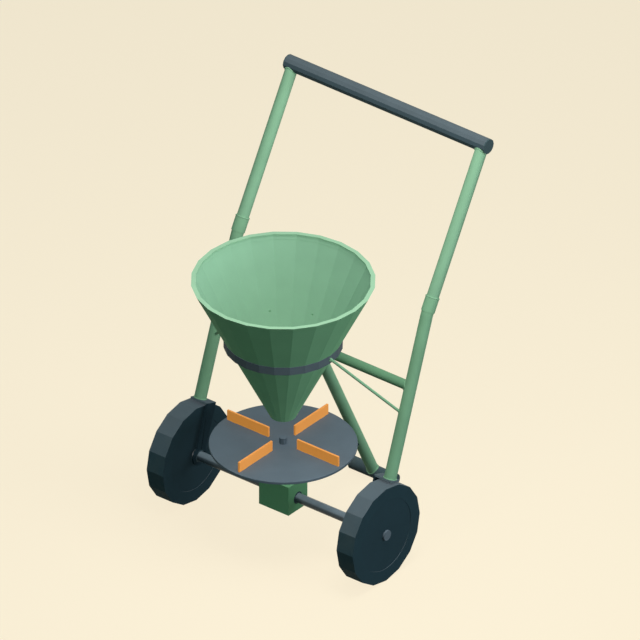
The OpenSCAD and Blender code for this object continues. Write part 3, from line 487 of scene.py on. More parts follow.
class Effects:
    """Shared node groups, each built once and placed in many materials."""

    def __init__(self, recipe: Recipe) -> None:
        """Build all the groups to a recipe."""
        self.recipe = recipe
        self.grain = self._grain()
        self.tint = self._tint()
        self.facing = self._facing()
        self.dust = self._dust()
        self.marks = self._marks()

    @staticmethod
    def _open(
        name: str, inputs: str, outputs: str
    ) -> tuple[bpy.types.NodeTree, NodeSketch, bpy.types.NodeOutputs, bpy.types.Node]:
        """Start a node group with named inputs and outputs.

        Args:
            name: Name of the group.
            inputs: Labels of its inputs, parted by spaces. A label tells the socket's kind too.
            outputs: Labels of its outputs, likewise.

        Returns:
            The tree, its sketch, the outputs of its input node, and its output node.
        """
        tree = bpy.data.node_groups.new(name, "ShaderNodeTree")
        for way, labels in (("INPUT", inputs), ("OUTPUT", outputs)):
            for label in labels.split():
                kind = OTHER_KINDS.get(label, NUMBER_KIND)
                tree.interface.new_socket(label, in_out=way, socket_type=kind)
        sketch = NodeSketch(tree)
        return tree, sketch, sketch.node("NodeGroupInput").outputs, sketch.node("NodeGroupOutput")

    def _grain(self) -> bpy.types.NodeTree:
        """Build the fine and broad breaking up of a surface, and its height."""
        tree, sketch, given, end = self._open("Surface grain", "Vector Scale Pits", "Fine Broad Height")
        fine = sketch.noise(given["Vector"], given["Scale"], self.recipe.fine_detail)
        broad_scale = sketch.math("MULTIPLY", given["Scale"], self.recipe.broad_share)
        broad = sketch.noise(given["Vector"], broad_scale, self.recipe.broad_detail)
        inputs = {"Vector": given["Vector"], "Scale": given["Scale"]}
        cells = sketch.node("ShaderNodeTexVoronoi", inputs, feature="SMOOTH_F1")
        pits = sketch.math("MULTIPLY", cells.outputs["Distance"], given["Pits"])
        height = sketch.math("ADD", fine, pits)
        sketch.fill(end, {"Fine": fine, "Broad": broad, "Height": height})
        return tree

    def _tint(self) -> bpy.types.NodeTree:
        """Build the gentle variation of a colour and of a roughness."""
        middle = self.recipe.middle
        tree, sketch, given, end = self._open(
            "Colour and gloss variation", "Colour Roughness Fine Broad Amount", "Colour Roughness"
        )
        drift = sketch.math("SUBTRACT", sketch.ramp(given["Broad"], *self.recipe.drift_span), middle)
        scaled = sketch.math("MULTIPLY", drift, given["Amount"])
        shade = sketch.math("ADD", sketch.math("MULTIPLY", scaled, self.recipe.drift_gain), 1.0)
        grey = sketch.node("ShaderNodeCombineColor", {part: shade for part in range(3)})
        colour = sketch.blend(1.0, given["Colour"], grey.outputs[0], "MULTIPLY")
        grain = sketch.math("SUBTRACT", given["Fine"], middle)
        speck = sketch.math("MULTIPLY", grain, self.recipe.fine_gloss)
        cloud = sketch.math("MULTIPLY", drift, self.recipe.broad_gloss)
        change = sketch.math("ADD", speck, cloud)
        rough = sketch.math("ADD", given["Roughness"], change, clamp=True)
        sketch.fill(end, {"Colour": colour, "Roughness": rough})
        return tree

    def _facing(self) -> bpy.types.NodeTree:
        """Build the mask of the faces that look up by more than a given amount, with which finishes paint
        light and shade by facing.
        """
        tree, sketch, given, end = self._open("Facing up", "Normal Turn", "Mask")
        parts = sketch.node("ShaderNodeSeparateXYZ", {0: given["Normal"]})
        beyond = sketch.math("SUBTRACT", parts.outputs["Z"], given["Turn"])
        blur = self.recipe.facing_blur
        sketch.fill(end, {"Mask": sketch.ramp(beyond, -blur, blur)})
        return tree

    def _dust(self) -> bpy.types.NodeTree:
        """Build the pale dust that settles low down and thins out upwards."""
        recipe = self.recipe
        labels = "Vector Colour Roughness Amount"
        tree, sketch, given, end = self._open("Ground dust", labels, "Colour Roughness")
        parts = sketch.node("ShaderNodeSeparateXYZ", {0: given["Vector"]})
        height = sketch.ramp(parts.outputs["Z"], 0.0, recipe.dust_up)
        low = sketch.math("SUBTRACT", 1.0, height, clamp=True)
        noise = sketch.noise(given["Vector"], recipe.dust_scale, recipe.dust_detail)
        patch = sketch.math("MULTIPLY", low, sketch.ramp(noise, *recipe.dust_span))
        mask = sketch.math("MULTIPLY", patch, given["Amount"])
        cover = sketch.math("MULTIPLY", mask, recipe.dust_cover)
        colour = sketch.blend(cover, given["Colour"], recipe.dust_colour)
        change = sketch.math("MULTIPLY", mask, recipe.dust_gloss)
        rough = sketch.math("ADD", given["Roughness"], change, clamp=True)
        sketch.fill(end, {"Colour": colour, "Roughness": rough})
        return tree

    def _marks(self) -> bpy.types.NodeTree:
        """Build the long fine turning marks round the X axis, for bare metal."""
        recipe = self.recipe
        labels = "Vector Scale Roughness"
        tree, sketch, given, end = self._open("Turning marks", labels, "Roughness Height")
        inputs = {"Vector": given["Vector"], "Scale": recipe.mark_squeeze}
        squeeze = sketch.node("ShaderNodeMapping", inputs)
        marks = sketch.noise(squeeze.outputs[0], given["Scale"], recipe.broad_detail)
        off = sketch.math("SUBTRACT", marks, recipe.middle)
        change = sketch.math("MULTIPLY", off, recipe.mark_gloss)
        rough = sketch.math("ADD", given["Roughness"], change, clamp=True)
        sketch.fill(end, {"Roughness": rough, "Height": marks})
        return tree


class Paintshop:
    """Turns finishes into materials and puts them on pieces."""

    def __init__(self, effects: Effects) -> None:
        """Open the shop with the shared node groups."""
        self.effects = effects
        self.made: dict[str, bpy.types.Material] = {}

    def material(self, finish: Finish) -> bpy.types.Material:
        """Find the material of a finish, made when it is first asked for."""
        if finish.name not in self.made:
            self.made[finish.name] = self._mix(finish)
        return self.made[finish.name]

    def _colour(self, sketch: NodeSketch, finish: Finish) -> Value:
        """Find a finish's colour, or the output that gives it where it changes with the facing as painted
        light and shade.
        """
        if not finish.under:
            return finish.colour
        normal = sketch.node("ShaderNodeNewGeometry").outputs["Normal"]
        facing = sketch.effect(self.effects.facing, {"Normal": normal, "Turn": finish.turn})
        return sketch.blend(facing.outputs["Mask"], finish.under, finish.colour)

    def _mix(self, finish: Finish) -> bpy.types.Material:
        """Make the material of a finish."""
        made = bpy.data.materials.new(finish.name)
        made.diffuse_color = finish.colour
        sketch = NodeSketch.on(made)
        place = sketch.node("ShaderNodeTexCoord").outputs["Object"]
        inputs = {"Vector": place, "Scale": finish.grain, "Pits": finish.skin.pits}
        grain = sketch.effect(self.effects.grain, inputs).outputs
        tint = sketch.effect(self.effects.tint, {
            "Colour": self._colour(sketch, finish), "Roughness": finish.roughness,
            "Fine": grain["Fine"], "Broad": grain["Broad"], "Amount": finish.mottle,
        }).outputs
        colour, rough, height = tint["Colour"], tint["Roughness"], grain["Height"]
        if finish.skin is Skin.STEEL:
            inputs = {"Vector": place, "Scale": finish.grain, "Roughness": rough}
            marks = sketch.effect(self.effects.marks, inputs).outputs
            rough, height = marks["Roughness"], marks["Height"]
        if finish.dust:
            inputs = {"Vector": place, "Colour": colour, "Roughness": rough, "Amount": finish.dust}
            dust = sketch.effect(self.effects.dust, inputs).outputs
            colour, rough = dust["Colour"], dust["Roughness"]
        inputs = {"Strength": 1.0, "Distance": finish.bump, "Height": height}
        bump = sketch.node("ShaderNodeBump", inputs)
        shader = sketch.tree.nodes["Principled BSDF"]
        sketch.fill(shader, {
            "Base Color": colour, "Roughness": rough, "Metallic": finish.metallic,
            "Specular IOR Level": finish.specular, "Normal": bump.outputs["Normal"],
        })
        # The glow is painted light: the finish gives off light though its piece is no lamp.
        if finish.glow:
            sketch.fill(shader, {"Emission Color": finish.glow, "Emission Strength": 1.0})
        return made

    def paint(self, piece: bpy.types.Object, finish: Finish) -> None:
        """Give a piece one finish all over."""
        piece.data.materials.clear()
        piece.data.materials.append(self.material(finish))


# Dressing of the CAD nodes


@dataclass(frozen=True)
class Dress:
    """How a CAD node is dressed.

    Attributes:
        finish: Its finish.
        edge: How far its edges are rounded.
        flat: Whether its facets are shaded flat.
        angle: Edges sharper than this, in degrees, stay sharp or are rounded.
    """

    finish: Finish
    edge: Edge = Edge.SHARP
    flat: bool = False
    angle: float = 32.0


@dataclass
class Wardrobe:
    """Dresses the CAD nodes: shading, rounded edges and finish.

    Attributes:
        shop: Where the finishes come from.
        nodes: The CAD nodes by name.
        decimals: Places that agree to this many decimals of a metre are one.
        edge_steps: Faces across a rounded edge.
    """

    shop: Paintshop
    nodes: dict[str, bpy.types.Object]
    decimals: int = 6
    edge_steps: int = 2

    def dress(self, name: str, look: Dress) -> None:
        """Dress one node."""
        piece = self.nodes[name]
        mesh = piece.data
        if "custom_normal" in mesh.attributes:
            mesh.attributes.remove(mesh.attributes["custom_normal"])
        mesh.polygons.foreach_set("use_smooth", [not look.flat] * len(mesh.polygons))
        self._mark_sharp(mesh, math.radians(look.angle))
        join = piece.modifiers.new("Join edges", "WELD")
        join.merge_threshold = 10**-self.decimals
        if look.edge is not Edge.SHARP:
            bevel = piece.modifiers.new("Rounded edges", "BEVEL")
            bevel.width = look.edge.value
            bevel.segments = self.edge_steps
            bevel.limit_method = "ANGLE"
            bevel.angle_limit = math.radians(look.angle)
            bevel.harden_normals = True
        self.shop.paint(piece, look.finish)
        LOG.info("dressed %s in %s", name, look.finish.name)

    def _mark_sharp(self, mesh: bpy.types.Mesh, limit: float) -> None:
        """Mark the edges at which the surface turns sharply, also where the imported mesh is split.

        Args:
            mesh: The node's mesh.
            limit: Angle above which an edge is sharp, in radians.
        """
        spots: dict[tuple[float, ...], int] = {}
        place = []
        for vertex in mesh.vertices:
            spot = tuple(round(part, self.decimals) for part in vertex.co)
            place.append(spots.setdefault(spot, len(spots)))
        meeting: dict[tuple[int, ...], list[Vector]] = {}
        for polygon in mesh.polygons:
            for ends in polygon.edge_keys:
                key = tuple(sorted(place[end] for end in ends))
                meeting.setdefault(key, []).append(polygon.normal.copy())
        sharp = []
        for edge in mesh.edges:
            normals = meeting.get(tuple(sorted(place[end] for end in edge.vertices)), [])
            sharp.append(len(normals) != 2 or normals[0].angle(normals[1], math.pi) > limit)
        if "sharp_edge" not in mesh.attributes:
            mesh.attributes.new("sharp_edge", "BOOLEAN", "EDGE")
        mesh.attributes["sharp_edge"].data.foreach_set("value", sharp)

    def touch_up(
        self, name: str, finish: Finish, wanted: Callable[[bpy.types.MeshPolygon], bool]
    ) -> None:
        """Give some faces of a dressed node a second finish.

        Args:
            name: The node's name.
            finish: The second finish.
            wanted: Tells whether a face takes it.
        """
        mesh = self.nodes[name].data
        mesh.materials.append(self.shop.material(finish))
        mesh.polygons.foreach_set("material_index", [int(wanted(face)) for face in mesh.polygons])


# Welds and other small work


@dataclass(frozen=True)
class Waves:
    """How the radius of a weld swells along it: a short wave and a long one.

    Attributes:
        short: Share of the radius in the short wave.
        short_turn: Angle of the short wave from point to point, in radians.
        long: Share of the radius in the long wave.
        long_turn: Angle of the long wave from point to point, in radians.
    """

    short: float = 0.0
    short_turn: float = 0.0
    long: float = 0.0
    long_turn: float = 0.0

    def swell(self, index: int, seed: float) -> float:
        """Find the radius of a weld at a point, as a share of its size.

        Args:
            index: Number of the point.
            seed: Shifts the waves, so that no two welds are alike.
        """
        short = self.short * math.sin(index * self.short_turn + seed)
        long = self.long * math.sin(index * self.long_turn + 2 * seed)
        return 1 + short + long


BEAD_WAVES = Waves(short=0.14, short_turn=1.9, long=0.06, long_turn=0.7)
SEAM_WAVES = Waves(short=0.12, short_turn=1.7)
SMOOTH = Waves()


@dataclass
class Workbench:
    """Makes new pieces from mesh data.

    Attributes:
        shop: Where the finishes come from.
        steps: Points round a joint.
        sides: Points round a weld's section.
        sharp: Angle above which an edge of a new piece is sharp, in degrees.
        askew: Direction that no joint follows, which sets where a bead's section starts.
    """

    shop: Paintshop
    steps: int = 72
    sides: int = 8
    sharp: float = 38.0
    askew: tuple[float, float, float] = (0.31, 0.57, 0.76)

    def finish_piece(self, name: str, work: bmesh.types.BMesh, finish: Finish, slot: Slot) -> None:
        """Turn mesh work into a finished piece that rides on the frame.

        Args:
            name: Name of the piece.
            work: Its mesh work, which is used up.
            finish: Its finish.
            slot: Not used.
        """
        bmesh.ops.recalc_face_normals(work, faces=work.faces)
        mesh = bpy.data.meshes.new(name)
        work.to_mesh(mesh)
        work.free()
        mesh.polygons.foreach_set("use_smooth", [True] * len(mesh.polygons))
        mesh.set_sharp_from_angle(angle=math.radians(self.sharp))
        piece = put_in_scene(name, mesh)
        self.shop.paint(piece, finish)
        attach(piece, FRAME_BODY)
        LOG.info("made %s", name)

    @staticmethod
    def loft(work: bmesh.types.BMesh, rings: Sequence[Sequence[Vector]], closed: bool) -> None:
        """Join rings of points into one skin.

        Args:
            work: The mesh work that the skin goes into.
            rings: Rings with the same number of points each.
            closed: Whether the last ring joins the first. Open ends get a cap.
        """
        rows = [[work.verts.new(point) for point in ring] for ring in rings]
        count = len(rows[0])
        pairs = list(zip(rows, rows[1:])) + ([(rows[-1], rows[0])] if closed else [])
        for low, high in pairs:
            for index in range(count):
                after = (index + 1) % count
                work.faces.new((low[index], low[after], high[after], high[index]))
        if not closed:
            work.faces.new(list(reversed(rows[0])))
            work.faces.new(rows[-1])

    def section(self, point: Vector, wide: Vector, high: Vector) -> list[Vector]:
        """Find the points round an oval section with two half axes."""
        return [point + wide * math.cos(turn) + high * math.sin(turn) for turn in turns(self.sides)]

    def bead(
        self, work: bmesh.types.BMesh, path: Sequence[Vector], size: float, seed: float = 0.0,
        waves: Waves = BEAD_WAVES,
    ) -> None:
        """Lay a round bead along a closed path.

        Args:
            work: The mesh work that the bead goes into.
            path: Points round the joint.
            size: Radius of the bead.
            seed: Shifts the waves.
            waves: How the radius swells along the path.
        """
        rings = []
        for index, point in enumerate(path):
            along = (path[(index + 1) % len(path)] - path[index - 1]).normalized()
            side = along.cross(Vector(self.askew)).normalized()
            reach = size * waves.swell(index, seed)
            rings.append(self.section(point, reach * side, reach * side.cross(along)))
        self.loft(work, rings, closed=True)

    def coped(self, branch: Tube, main: Tube) -> list[Vector]:
        """Find the line on which a branch tube ends on a main tube.

        Args:
            branch: The tube that is cut to fit, with its line leading away from the main tube.
            main: The tube that runs through.

        Returns:
            Points round the joint.
        """
        line = branch.line.normalized()
        first = line.cross(main.line).normalized()
        second = line.cross(first)
        out = main.line.normalized()
        path = []
        for angle in turns(self.steps):
            start = branch.point + branch.radius * (first * math.cos(angle) + second * math.sin(angle))
            away = start - main.point
            flat, move = away - out * away.dot(out), line - out * line.dot(out)
            inside, speed, nearing = main.radius**2 - flat.dot(flat), move.dot(move), flat.dot(move)
            root = math.sqrt(max(nearing**2 + speed * inside, 0.0))
            path.append(start + line * max((root - nearing) / speed, 0.0))
        return path

    def circle(self, centre: Vector, normal: Vector, radius: float) -> list[Vector]:
        """Find the circle on which a tube ends on a flat face.

        Args:
            centre: The circle's centre.
            normal: The face's direction.
            radius: The circle's radius.

        Returns:
            Points round the circle.
        """
        turn = RISE.rotation_difference(normal.normalized())
        return [
            centre + turn @ Vector((radius * math.cos(angle), radius * math.sin(angle), 0))
            for angle in turns(self.steps)
        ]


# Sub-assemblies


@dataclass
class SubAssembly:
    """A group of nodes that belong together, with the pieces added to them.

    Attributes:
        layout: Sizes of the spreader.
        wardrobe: Dresses the CAD nodes.
        bench: Makes the added pieces.
    """

    layout: Layout
    wardrobe: Wardrobe
    bench: Workbench

    def looks(self) -> dict[str, Dress]:
        """List how the nodes of this sub-assembly are dressed."""
        return {}

    def add_pieces(self) -> None:
        """Make the pieces that the CAD nodes leave out."""

    def build(self) -> None:
        """Dress the nodes and make the added pieces."""
        for name, look in self.looks().items():
            self.wardrobe.dress(name, look)
        self.add_pieces()


@dataclass
class Hopper(SubAssembly):
    """Cone, hem and ring.

    Attributes:
        seam_r: Radius of the weld along the sheet's seam.
        seam_wide: Half width of the ground-down weld, as a share of its radius.
        seam_high: Half height of the ground-down weld, as a share of its radius.
        seam_end: Radius at the weld's ends, as a share of its radius.
        seam_taper: Points over which an end tapers.
        seam_steps: Steps along each stretch of the seam.
        seam_seed: Shifts the weld's waves.
        seam_spans: Stretches of the cone that the seam shows on, from 0 at the outlet to 1 at the rim.
        lip_slopes: Least and greatest upward part of the normal on the hem's sloping lip.
    """

    seam_r: float = 0.0012
    seam_wide: float = 1.6
    seam_high: float = 0.7
    seam_end: float = 0.35
    seam_taper: int = 4
    seam_steps: int = 150
    seam_seed: float = 0.4
    seam_spans: tuple[tuple[float, float], ...] = ((0.06, 0.525), (0.61, 0.955))
    lip_slopes: tuple[float, float] = (0.2, 0.9)

    def looks(self) -> dict[str, Dress]:
        """List how the hopper's nodes are dressed."""
        return {
            "hopper": Dress(HOPPER_PAINT, flat=True),
            "hopper_hem": Dress(HEM_PAINT, flat=True),
            "support_ring": Dress(RING_PAINT, flat=True),
            "ring_screws": Dress(HOPPER_PAINT),
        }

    def cone_point(self, share: float) -> Vector:
        """Find a point on the rear corner of the cone, from 0 at the outlet to 1 at the rim."""
        lay = self.layout
        back = lay.outlet_r + share * (lay.rim_r - lay.outlet_r)
        return lay.at(0, back, lay.outlet_up + share * (lay.rim_up - lay.outlet_up))

    def seam(self, work: bmesh.types.BMesh, low: float, high: float) -> None:
        """Lay one stretch of the ground-down weld that closes the rolled sheet.

        Args:
            work: The mesh work that the weld goes into.
            low: Where it starts, as a share of the cone.
            high: Where it ends.
        """
        steps = self.seam_steps
        spine = [self.cone_point(low + (high - low) * step / steps) for step in range(steps + 1)]
        out = ACROSS.cross((spine[-1] - spine[0]).normalized())
        rings = []
        for index, point in enumerate(spine):
            full = min(index, steps - index, self.seam_taper) / self.seam_taper
            swell = SEAM_WAVES.swell(index, self.seam_seed + low)
            reach = self.seam_r * (self.seam_end + (1 - self.seam_end) * full) * swell
            wide, rise = self.seam_wide * reach * ACROSS, self.seam_high * reach * out
            rings.append(self.bench.section(point, wide, rise))
        self.bench.loft(work, rings, closed=False)

    def add_pieces(self) -> None:
        """Weld the sheet's seam at the rear, and paint the hem's sloping lip as the sheet."""
        work = bmesh.new()
        for low, high in self.seam_spans:
            self.seam(work, low, high)
        self.bench.finish_piece("hopper_seam", work, HOPPER_PAINT, Slot.SAGE)
        low, high = self.lip_slopes
        self.wardrobe.touch_up("hopper_hem", HOPPER_PAINT, lambda face: low < abs(face.normal.z) < high)


@dataclass
class Shutter(SubAssembly):
    """Seat, keeper and sliding blade under the hopper."""

    def looks(self) -> dict[str, Dress]:
        """List how the shutter's nodes are dressed."""
        return {
            "gate_seat": Dress(DARK_PAINT),
            "gate_keeper": Dress(DARK_PAINT, Edge.SMALL),
            "gate_rivets": Dress(ZINC),
            "gate_screws": Dress(ZINC),
            "gate_blade": Dress(ZINC, Edge.FINE),
        }


@dataclass
class Tubework(SubAssembly):
    """Rails, crossbar, posts, brace rods, leg and foot, with the welds between them.

    Attributes:
        bead: Radius of the beads between tubes.
        thin_bead: Radius of the beads round the brace rods.
        foot_bead: Radius of the beads under the rails.
        foot_lift: How far those beads' middle is above the brackets.
        ring_share: Radius at which the rods end, as a share of the faceted ring's.
        seed_step: Shifts the waves from one bead to the next.
        cap_depth: How far the axle brackets' caps reach down from their highest point.
    """

    bead: float = 0.0019
    thin_bead: float = 0.0011
    foot_bead: float = 0.00152
    foot_lift: float = 0.0004
    ring_share: float = 0.998
    seed_step: float = 1.7
    cap_depth: float = 0.025

    def looks(self) -> dict[str, Dress]:
        """List how the tubework's nodes are dressed."""
        green = ("rail_left", "rail_right", "brace_rod_left", "brace_rod_right", "stand_leg")
        return {
            **{name: Dress(RAIL_PAINT) for name in green},
            # The crossbar and posts wear the darker copy of the green, painted shade.
            "crossbar": Dress(CROSS_GREEN_PAINTED_SHADE),
            "ring_posts": Dress(CROSS_GREEN_PAINTED_SHADE),
            "foot_bar": Dress(FOOT_PAINT),
            "foot_plugs": Dress(PLUG, Edge.MOULDED),
            "axle_bracket_left": Dress(STRAP_PAINT, Edge.PLATE),
            "axle_bracket_right": Dress(STRAP_PAINT, Edge.PLATE),
            "bracket_bushes": Dress(DARK_BUSH, Edge.FINE),
            "torque_strut": Dress(DARK_PAINT),
            "strut_screw": Dress(ZINC, Edge.SMALL),
        }

    def side_joints(self, side: int) -> list[tuple[list[Vector], float]]:
        """List the paths and sizes of the beads on one side: 1 is the driven wheel's, -1 the other."""
        lay, coped = self.layout, self.bench.coped
        rail_x = side * lay.wheel_x
        rail = Tube(lay.at(rail_x, 0, 0), lay.rail_line, lay.tube_r)
        end = Tube(lay.at(rail_x, lay.rail_back(lay.cross_up), lay.cross_up), -side * ACROSS, lay.cross_r)
        low = lay.at(rail_x, lay.rail_back(lay.brace_up), lay.brace_up)
        high = lay.at(side * lay.ring_r, 0, lay.ring_low + lay.ring_h / 2)
        ring = Tube(lay.at(0, 0, 0), RISE, lay.ring_r * self.ring_share)
        foot = rail.point + lay.rail_line * (lay.rail_foot + self.foot_lift)
        return [
            (coped(end, rail), self.bead),
            (coped(Tube(low, high - low, lay.brace_r), rail), self.thin_bead),
            (coped(Tube(high, low - high, lay.brace_r), ring), self.thin_bead),
            (self.bench.circle(foot, lay.rail_line, lay.tube_r), self.foot_bead),
        ]

    def joints(self) -> list[tuple[list[Vector], float]]:
        """List the paths and sizes of the beads between the painted tubes."""
        lay = self.layout
        cross = Tube(lay.at(0, lay.rail_back(lay.cross_up), lay.cross_up), ACROSS, lay.cross_r)
        foot = Tube(lay.at(0, lay.foot_back, lay.foot_up), ACROSS, lay.foot_r)
        leg_line = foot.point - cross.point
        return [
            (self.bench.coped(Tube(cross.point, leg_line, lay.leg_r), cross), self.bead),
            (self.bench.coped(Tube(foot.point, -leg_line, lay.leg_r), foot), self.bead),
            *self.side_joints(-1),
            *self.side_joints(1),
        ]

    def add_pieces(self) -> None:
        """Lay the weld beads, and paint the caps of the axle brackets."""
        work = bmesh.new()
        for number, (path, size) in enumerate(self.joints()):
            self.bench.bead(work, path, size, self.seed_step * number)
        self.bench.finish_piece("frame_welds", work, RAIL_PAINT, Slot.GREEN)
        for name in ("axle_bracket_left", "axle_bracket_right"):
            top = max(vertex.co.z for vertex in self.wardrobe.nodes[name].data.vertices)
            low = top - self.cap_depth
            self.wardrobe.touch_up(name, CAP_PAINT, lambda face: face.center.z > low)


@dataclass
class Handle(SubAssembly):
    """Handle tubes, handle bar and the bolts that hold them in the rails.

    Attributes:
        bead: Radius of the beads under the handle bar.
        bar_share: Radius at which the tubes end, as a share of the faceted bar's.
        seed: Shifts the beads' waves, so that the two differ.
        mouth_r: Radius of the rolled edge round each socket's mouth.
        mouth_sink: How far the rolled edge lies inside the socket's outside, as a share of its radius.
    """

    bead: float = 0.0019
    bar_share: float = 0.985
    seed: float = 2.0
    mouth_r: float = 0.0016
    mouth_sink: float = 1 / 3

    def looks(self) -> dict[str, Dress]:
        """List how the handle's nodes are dressed."""
        return {
            # The handle tubes wear the lighter copy of the rails' green, painted light.
            "handle_tube_left": Dress(TUBE_GREEN_PAINTED_LIGHT),
            "handle_tube_right": Dress(TUBE_GREEN_PAINTED_LIGHT),
            "handle_bar": Dress(BAR_SKIN, flat=True),
            "handle_plugs": Dress(PLUG, Edge.MOULDED, flat=True, angle=25.0),
            "joint_bolts": Dress(ZINC),
        }

    def add_pieces(self) -> None:
        """Weld the handle tubes to the bar, and roll the mouths of the rails' sockets over."""
        lay = self.layout
        bar = Tube(lay.at(0, lay.handle_back, lay.handle_up), ACROSS, lay.handle_r * self.bar_share)
        welds, mouths = bmesh.new(), bmesh.new()
        for side in (-1, 1):
            top = lay.at(side * lay.wheel_x, lay.handle_back, lay.handle_up)
            path = self.bench.coped(Tube(top, -lay.handle_line, lay.tube_r), bar)
            self.bench.bead(welds, path, self.bead, self.seed + side)
            bend = lay.at(side * lay.wheel_x, lay.bend_back, lay.bend_up)
            mouth = bend + lay.handle_line * lay.mouth_along
            reach = lay.socket_r - self.mouth_sink * self.mouth_r
            rim = self.bench.circle(mouth, lay.handle_line, reach)
            self.bench.bead(mouths, rim, self.mouth_r, waves=SMOOTH)
        self.bench.finish_piece("handle_welds", welds, TUBE_GREEN_PAINTED_LIGHT, Slot.GREEN)
        self.bench.finish_piece("socket_mouths", mouths, TUBE_GREEN_PAINTED_LIGHT, Slot.GREEN)


@dataclass
class Gearbox(SubAssembly):
    """Painted casting with its cover, screws and bushes."""

    def looks(self) -> dict[str, Dress]:
        """List how the gearbox's nodes are dressed."""
        return {
            "gearbox_housing": Dress(BOX_PAINT, Edge.CAST),
            "gearbox_cover": Dress(BOX_PAINT, Edge.MOULDED),
            "cover_screws": Dress(ZINC),
            "gearbox_bushes": Dress(DARK_BUSH),
            "tower_bushes": Dress(BRONZE, Edge.FINE),
        }


@dataclass
class AxleSet(SubAssembly):
    """Axle with its caps, spacers and crown gear."""

    def looks(self) -> dict[str, Dress]:
        """List how the axle's nodes are dressed."""
        return {
            "axle": Dress(AXLE_STEEL),
            "axle_caps": Dress(SLATE_PAINT, Edge.CAST),
            "axle_spacers": Dress(BARE_STEEL, Edge.SMALL),
            "crown_gear": Dress(BARE_STEEL, flat=True),
            "crown_pin": Dress(BARE_STEEL),
        }


@dataclass
class Wheels(SubAssembly):
    """Two padded wheels, one driven and one free.

    Attributes:
        side_slope: Sideways part of the normal above which a face of a tyre is its flat side.
    """

    side_slope: float = 0.9

    def looks(self) -> dict[str, Dress]:
        """List how the wheels' nodes are dressed."""
        found = {"wheel_bush_left": Dress(BRONZE)}
        for side in ("left", "right"):
            found[f"tyre_{side}"] = Dress(TREAD, flat=True)
            found[f"wheel_shells_{side}"] = Dress(WHEEL_PAINT)
            found[f"wheel_hub_{side}"] = Dress(BARE_STEEL)
        return found

    def add_pieces(self) -> None:
        """Give the flat sides of the tyres their own smoother rubber, painted darker than the tread as
        painted shade.
        """
        for name in ("tyre_left", "tyre_right"):
            self.wardrobe.touch_up(name, SIDEWALL_PAINTED_SHADE, lambda face: abs(face.normal.x) > self.side_slope)


@dataclass
class Spinner(SubAssembly):
    """Disc with four vanes, its hub, shaft and pinion."""

    def looks(self) -> dict[str, Dress]:
        """List how the spinner's nodes are dressed."""
        vanes = ("vane_right", "vane_rear", "vane_left", "vane_front")
        return {
            **{name: Dress(ORANGE_PAINT, Edge.PLATE) for name in vanes},
            "spinner_disc": Dress(SLATE_PAINT, Edge.PLATE),
            "disc_hub": Dress(DARK_PAINT, Edge.PLATE),
            "shaft_nut": Dress(SLATE_PAINT, Edge.MOULDED),
            "spinner_shaft": Dress(BARE_STEEL),
            "pinion": Dress(BARE_STEEL, flat=True),
            "pinion_pin": Dress(BARE_STEEL),
            "hub_pin": Dress(BARE_STEEL),
        }


# Floor, light and camera


class LampKind(Enum):
    """Sorts of lamps."""

    DISC = "AREA"
    SUN = "SUN"


@dataclass(frozen=True)
class Lamp:
    """One lamp.

    Attributes:
        name: Its name.
        kind: Its sort.
        place: Where it hangs.
        power: Watts of a disc, or strength of a sun.
        spread: Diameter of a disc in metres, or width of a sun in degrees.
        colour: Colour of its light.
        shadow: Whether things stand in its way.
        diffuse: How much it lights matt surfaces.
    """

    name: str
    kind: LampKind
    place: tuple[float, float, float]
    power: float
    spread: float
    colour: tuple[float, float, float] = (1.0, 1.0, 1.0)
    shadow: bool = True
    diffuse: float = 1.0


KEY_PLACE = (0.70, -0.375, 2.70)
KEY_POWER = 56.0
KEY_SIZE = 1.1
KEY_COLOUR = (1.0, 0.985, 0.95)
OPEN_SHARE = 0.7
LAMPS = (
    Lamp("Key", LampKind.DISC, KEY_PLACE, OPEN_SHARE * KEY_POWER, KEY_SIZE, KEY_COLOUR, shadow=False),
    Lamp("Shade", LampKind.DISC, KEY_PLACE, (1 - OPEN_SHARE) * KEY_POWER, KEY_SIZE, KEY_COLOUR),
    Lamp("Side", LampKind.SUN, (3.6, 1.0, 0.9), power=1.56, spread=50, colour=(0.86, 0.95, 1.0)),
    Lamp("Glint", LampKind.SUN, (-1.96, -3.0, 1.6), power=0.09, spread=8, shadow=False, diffuse=0.0),
)


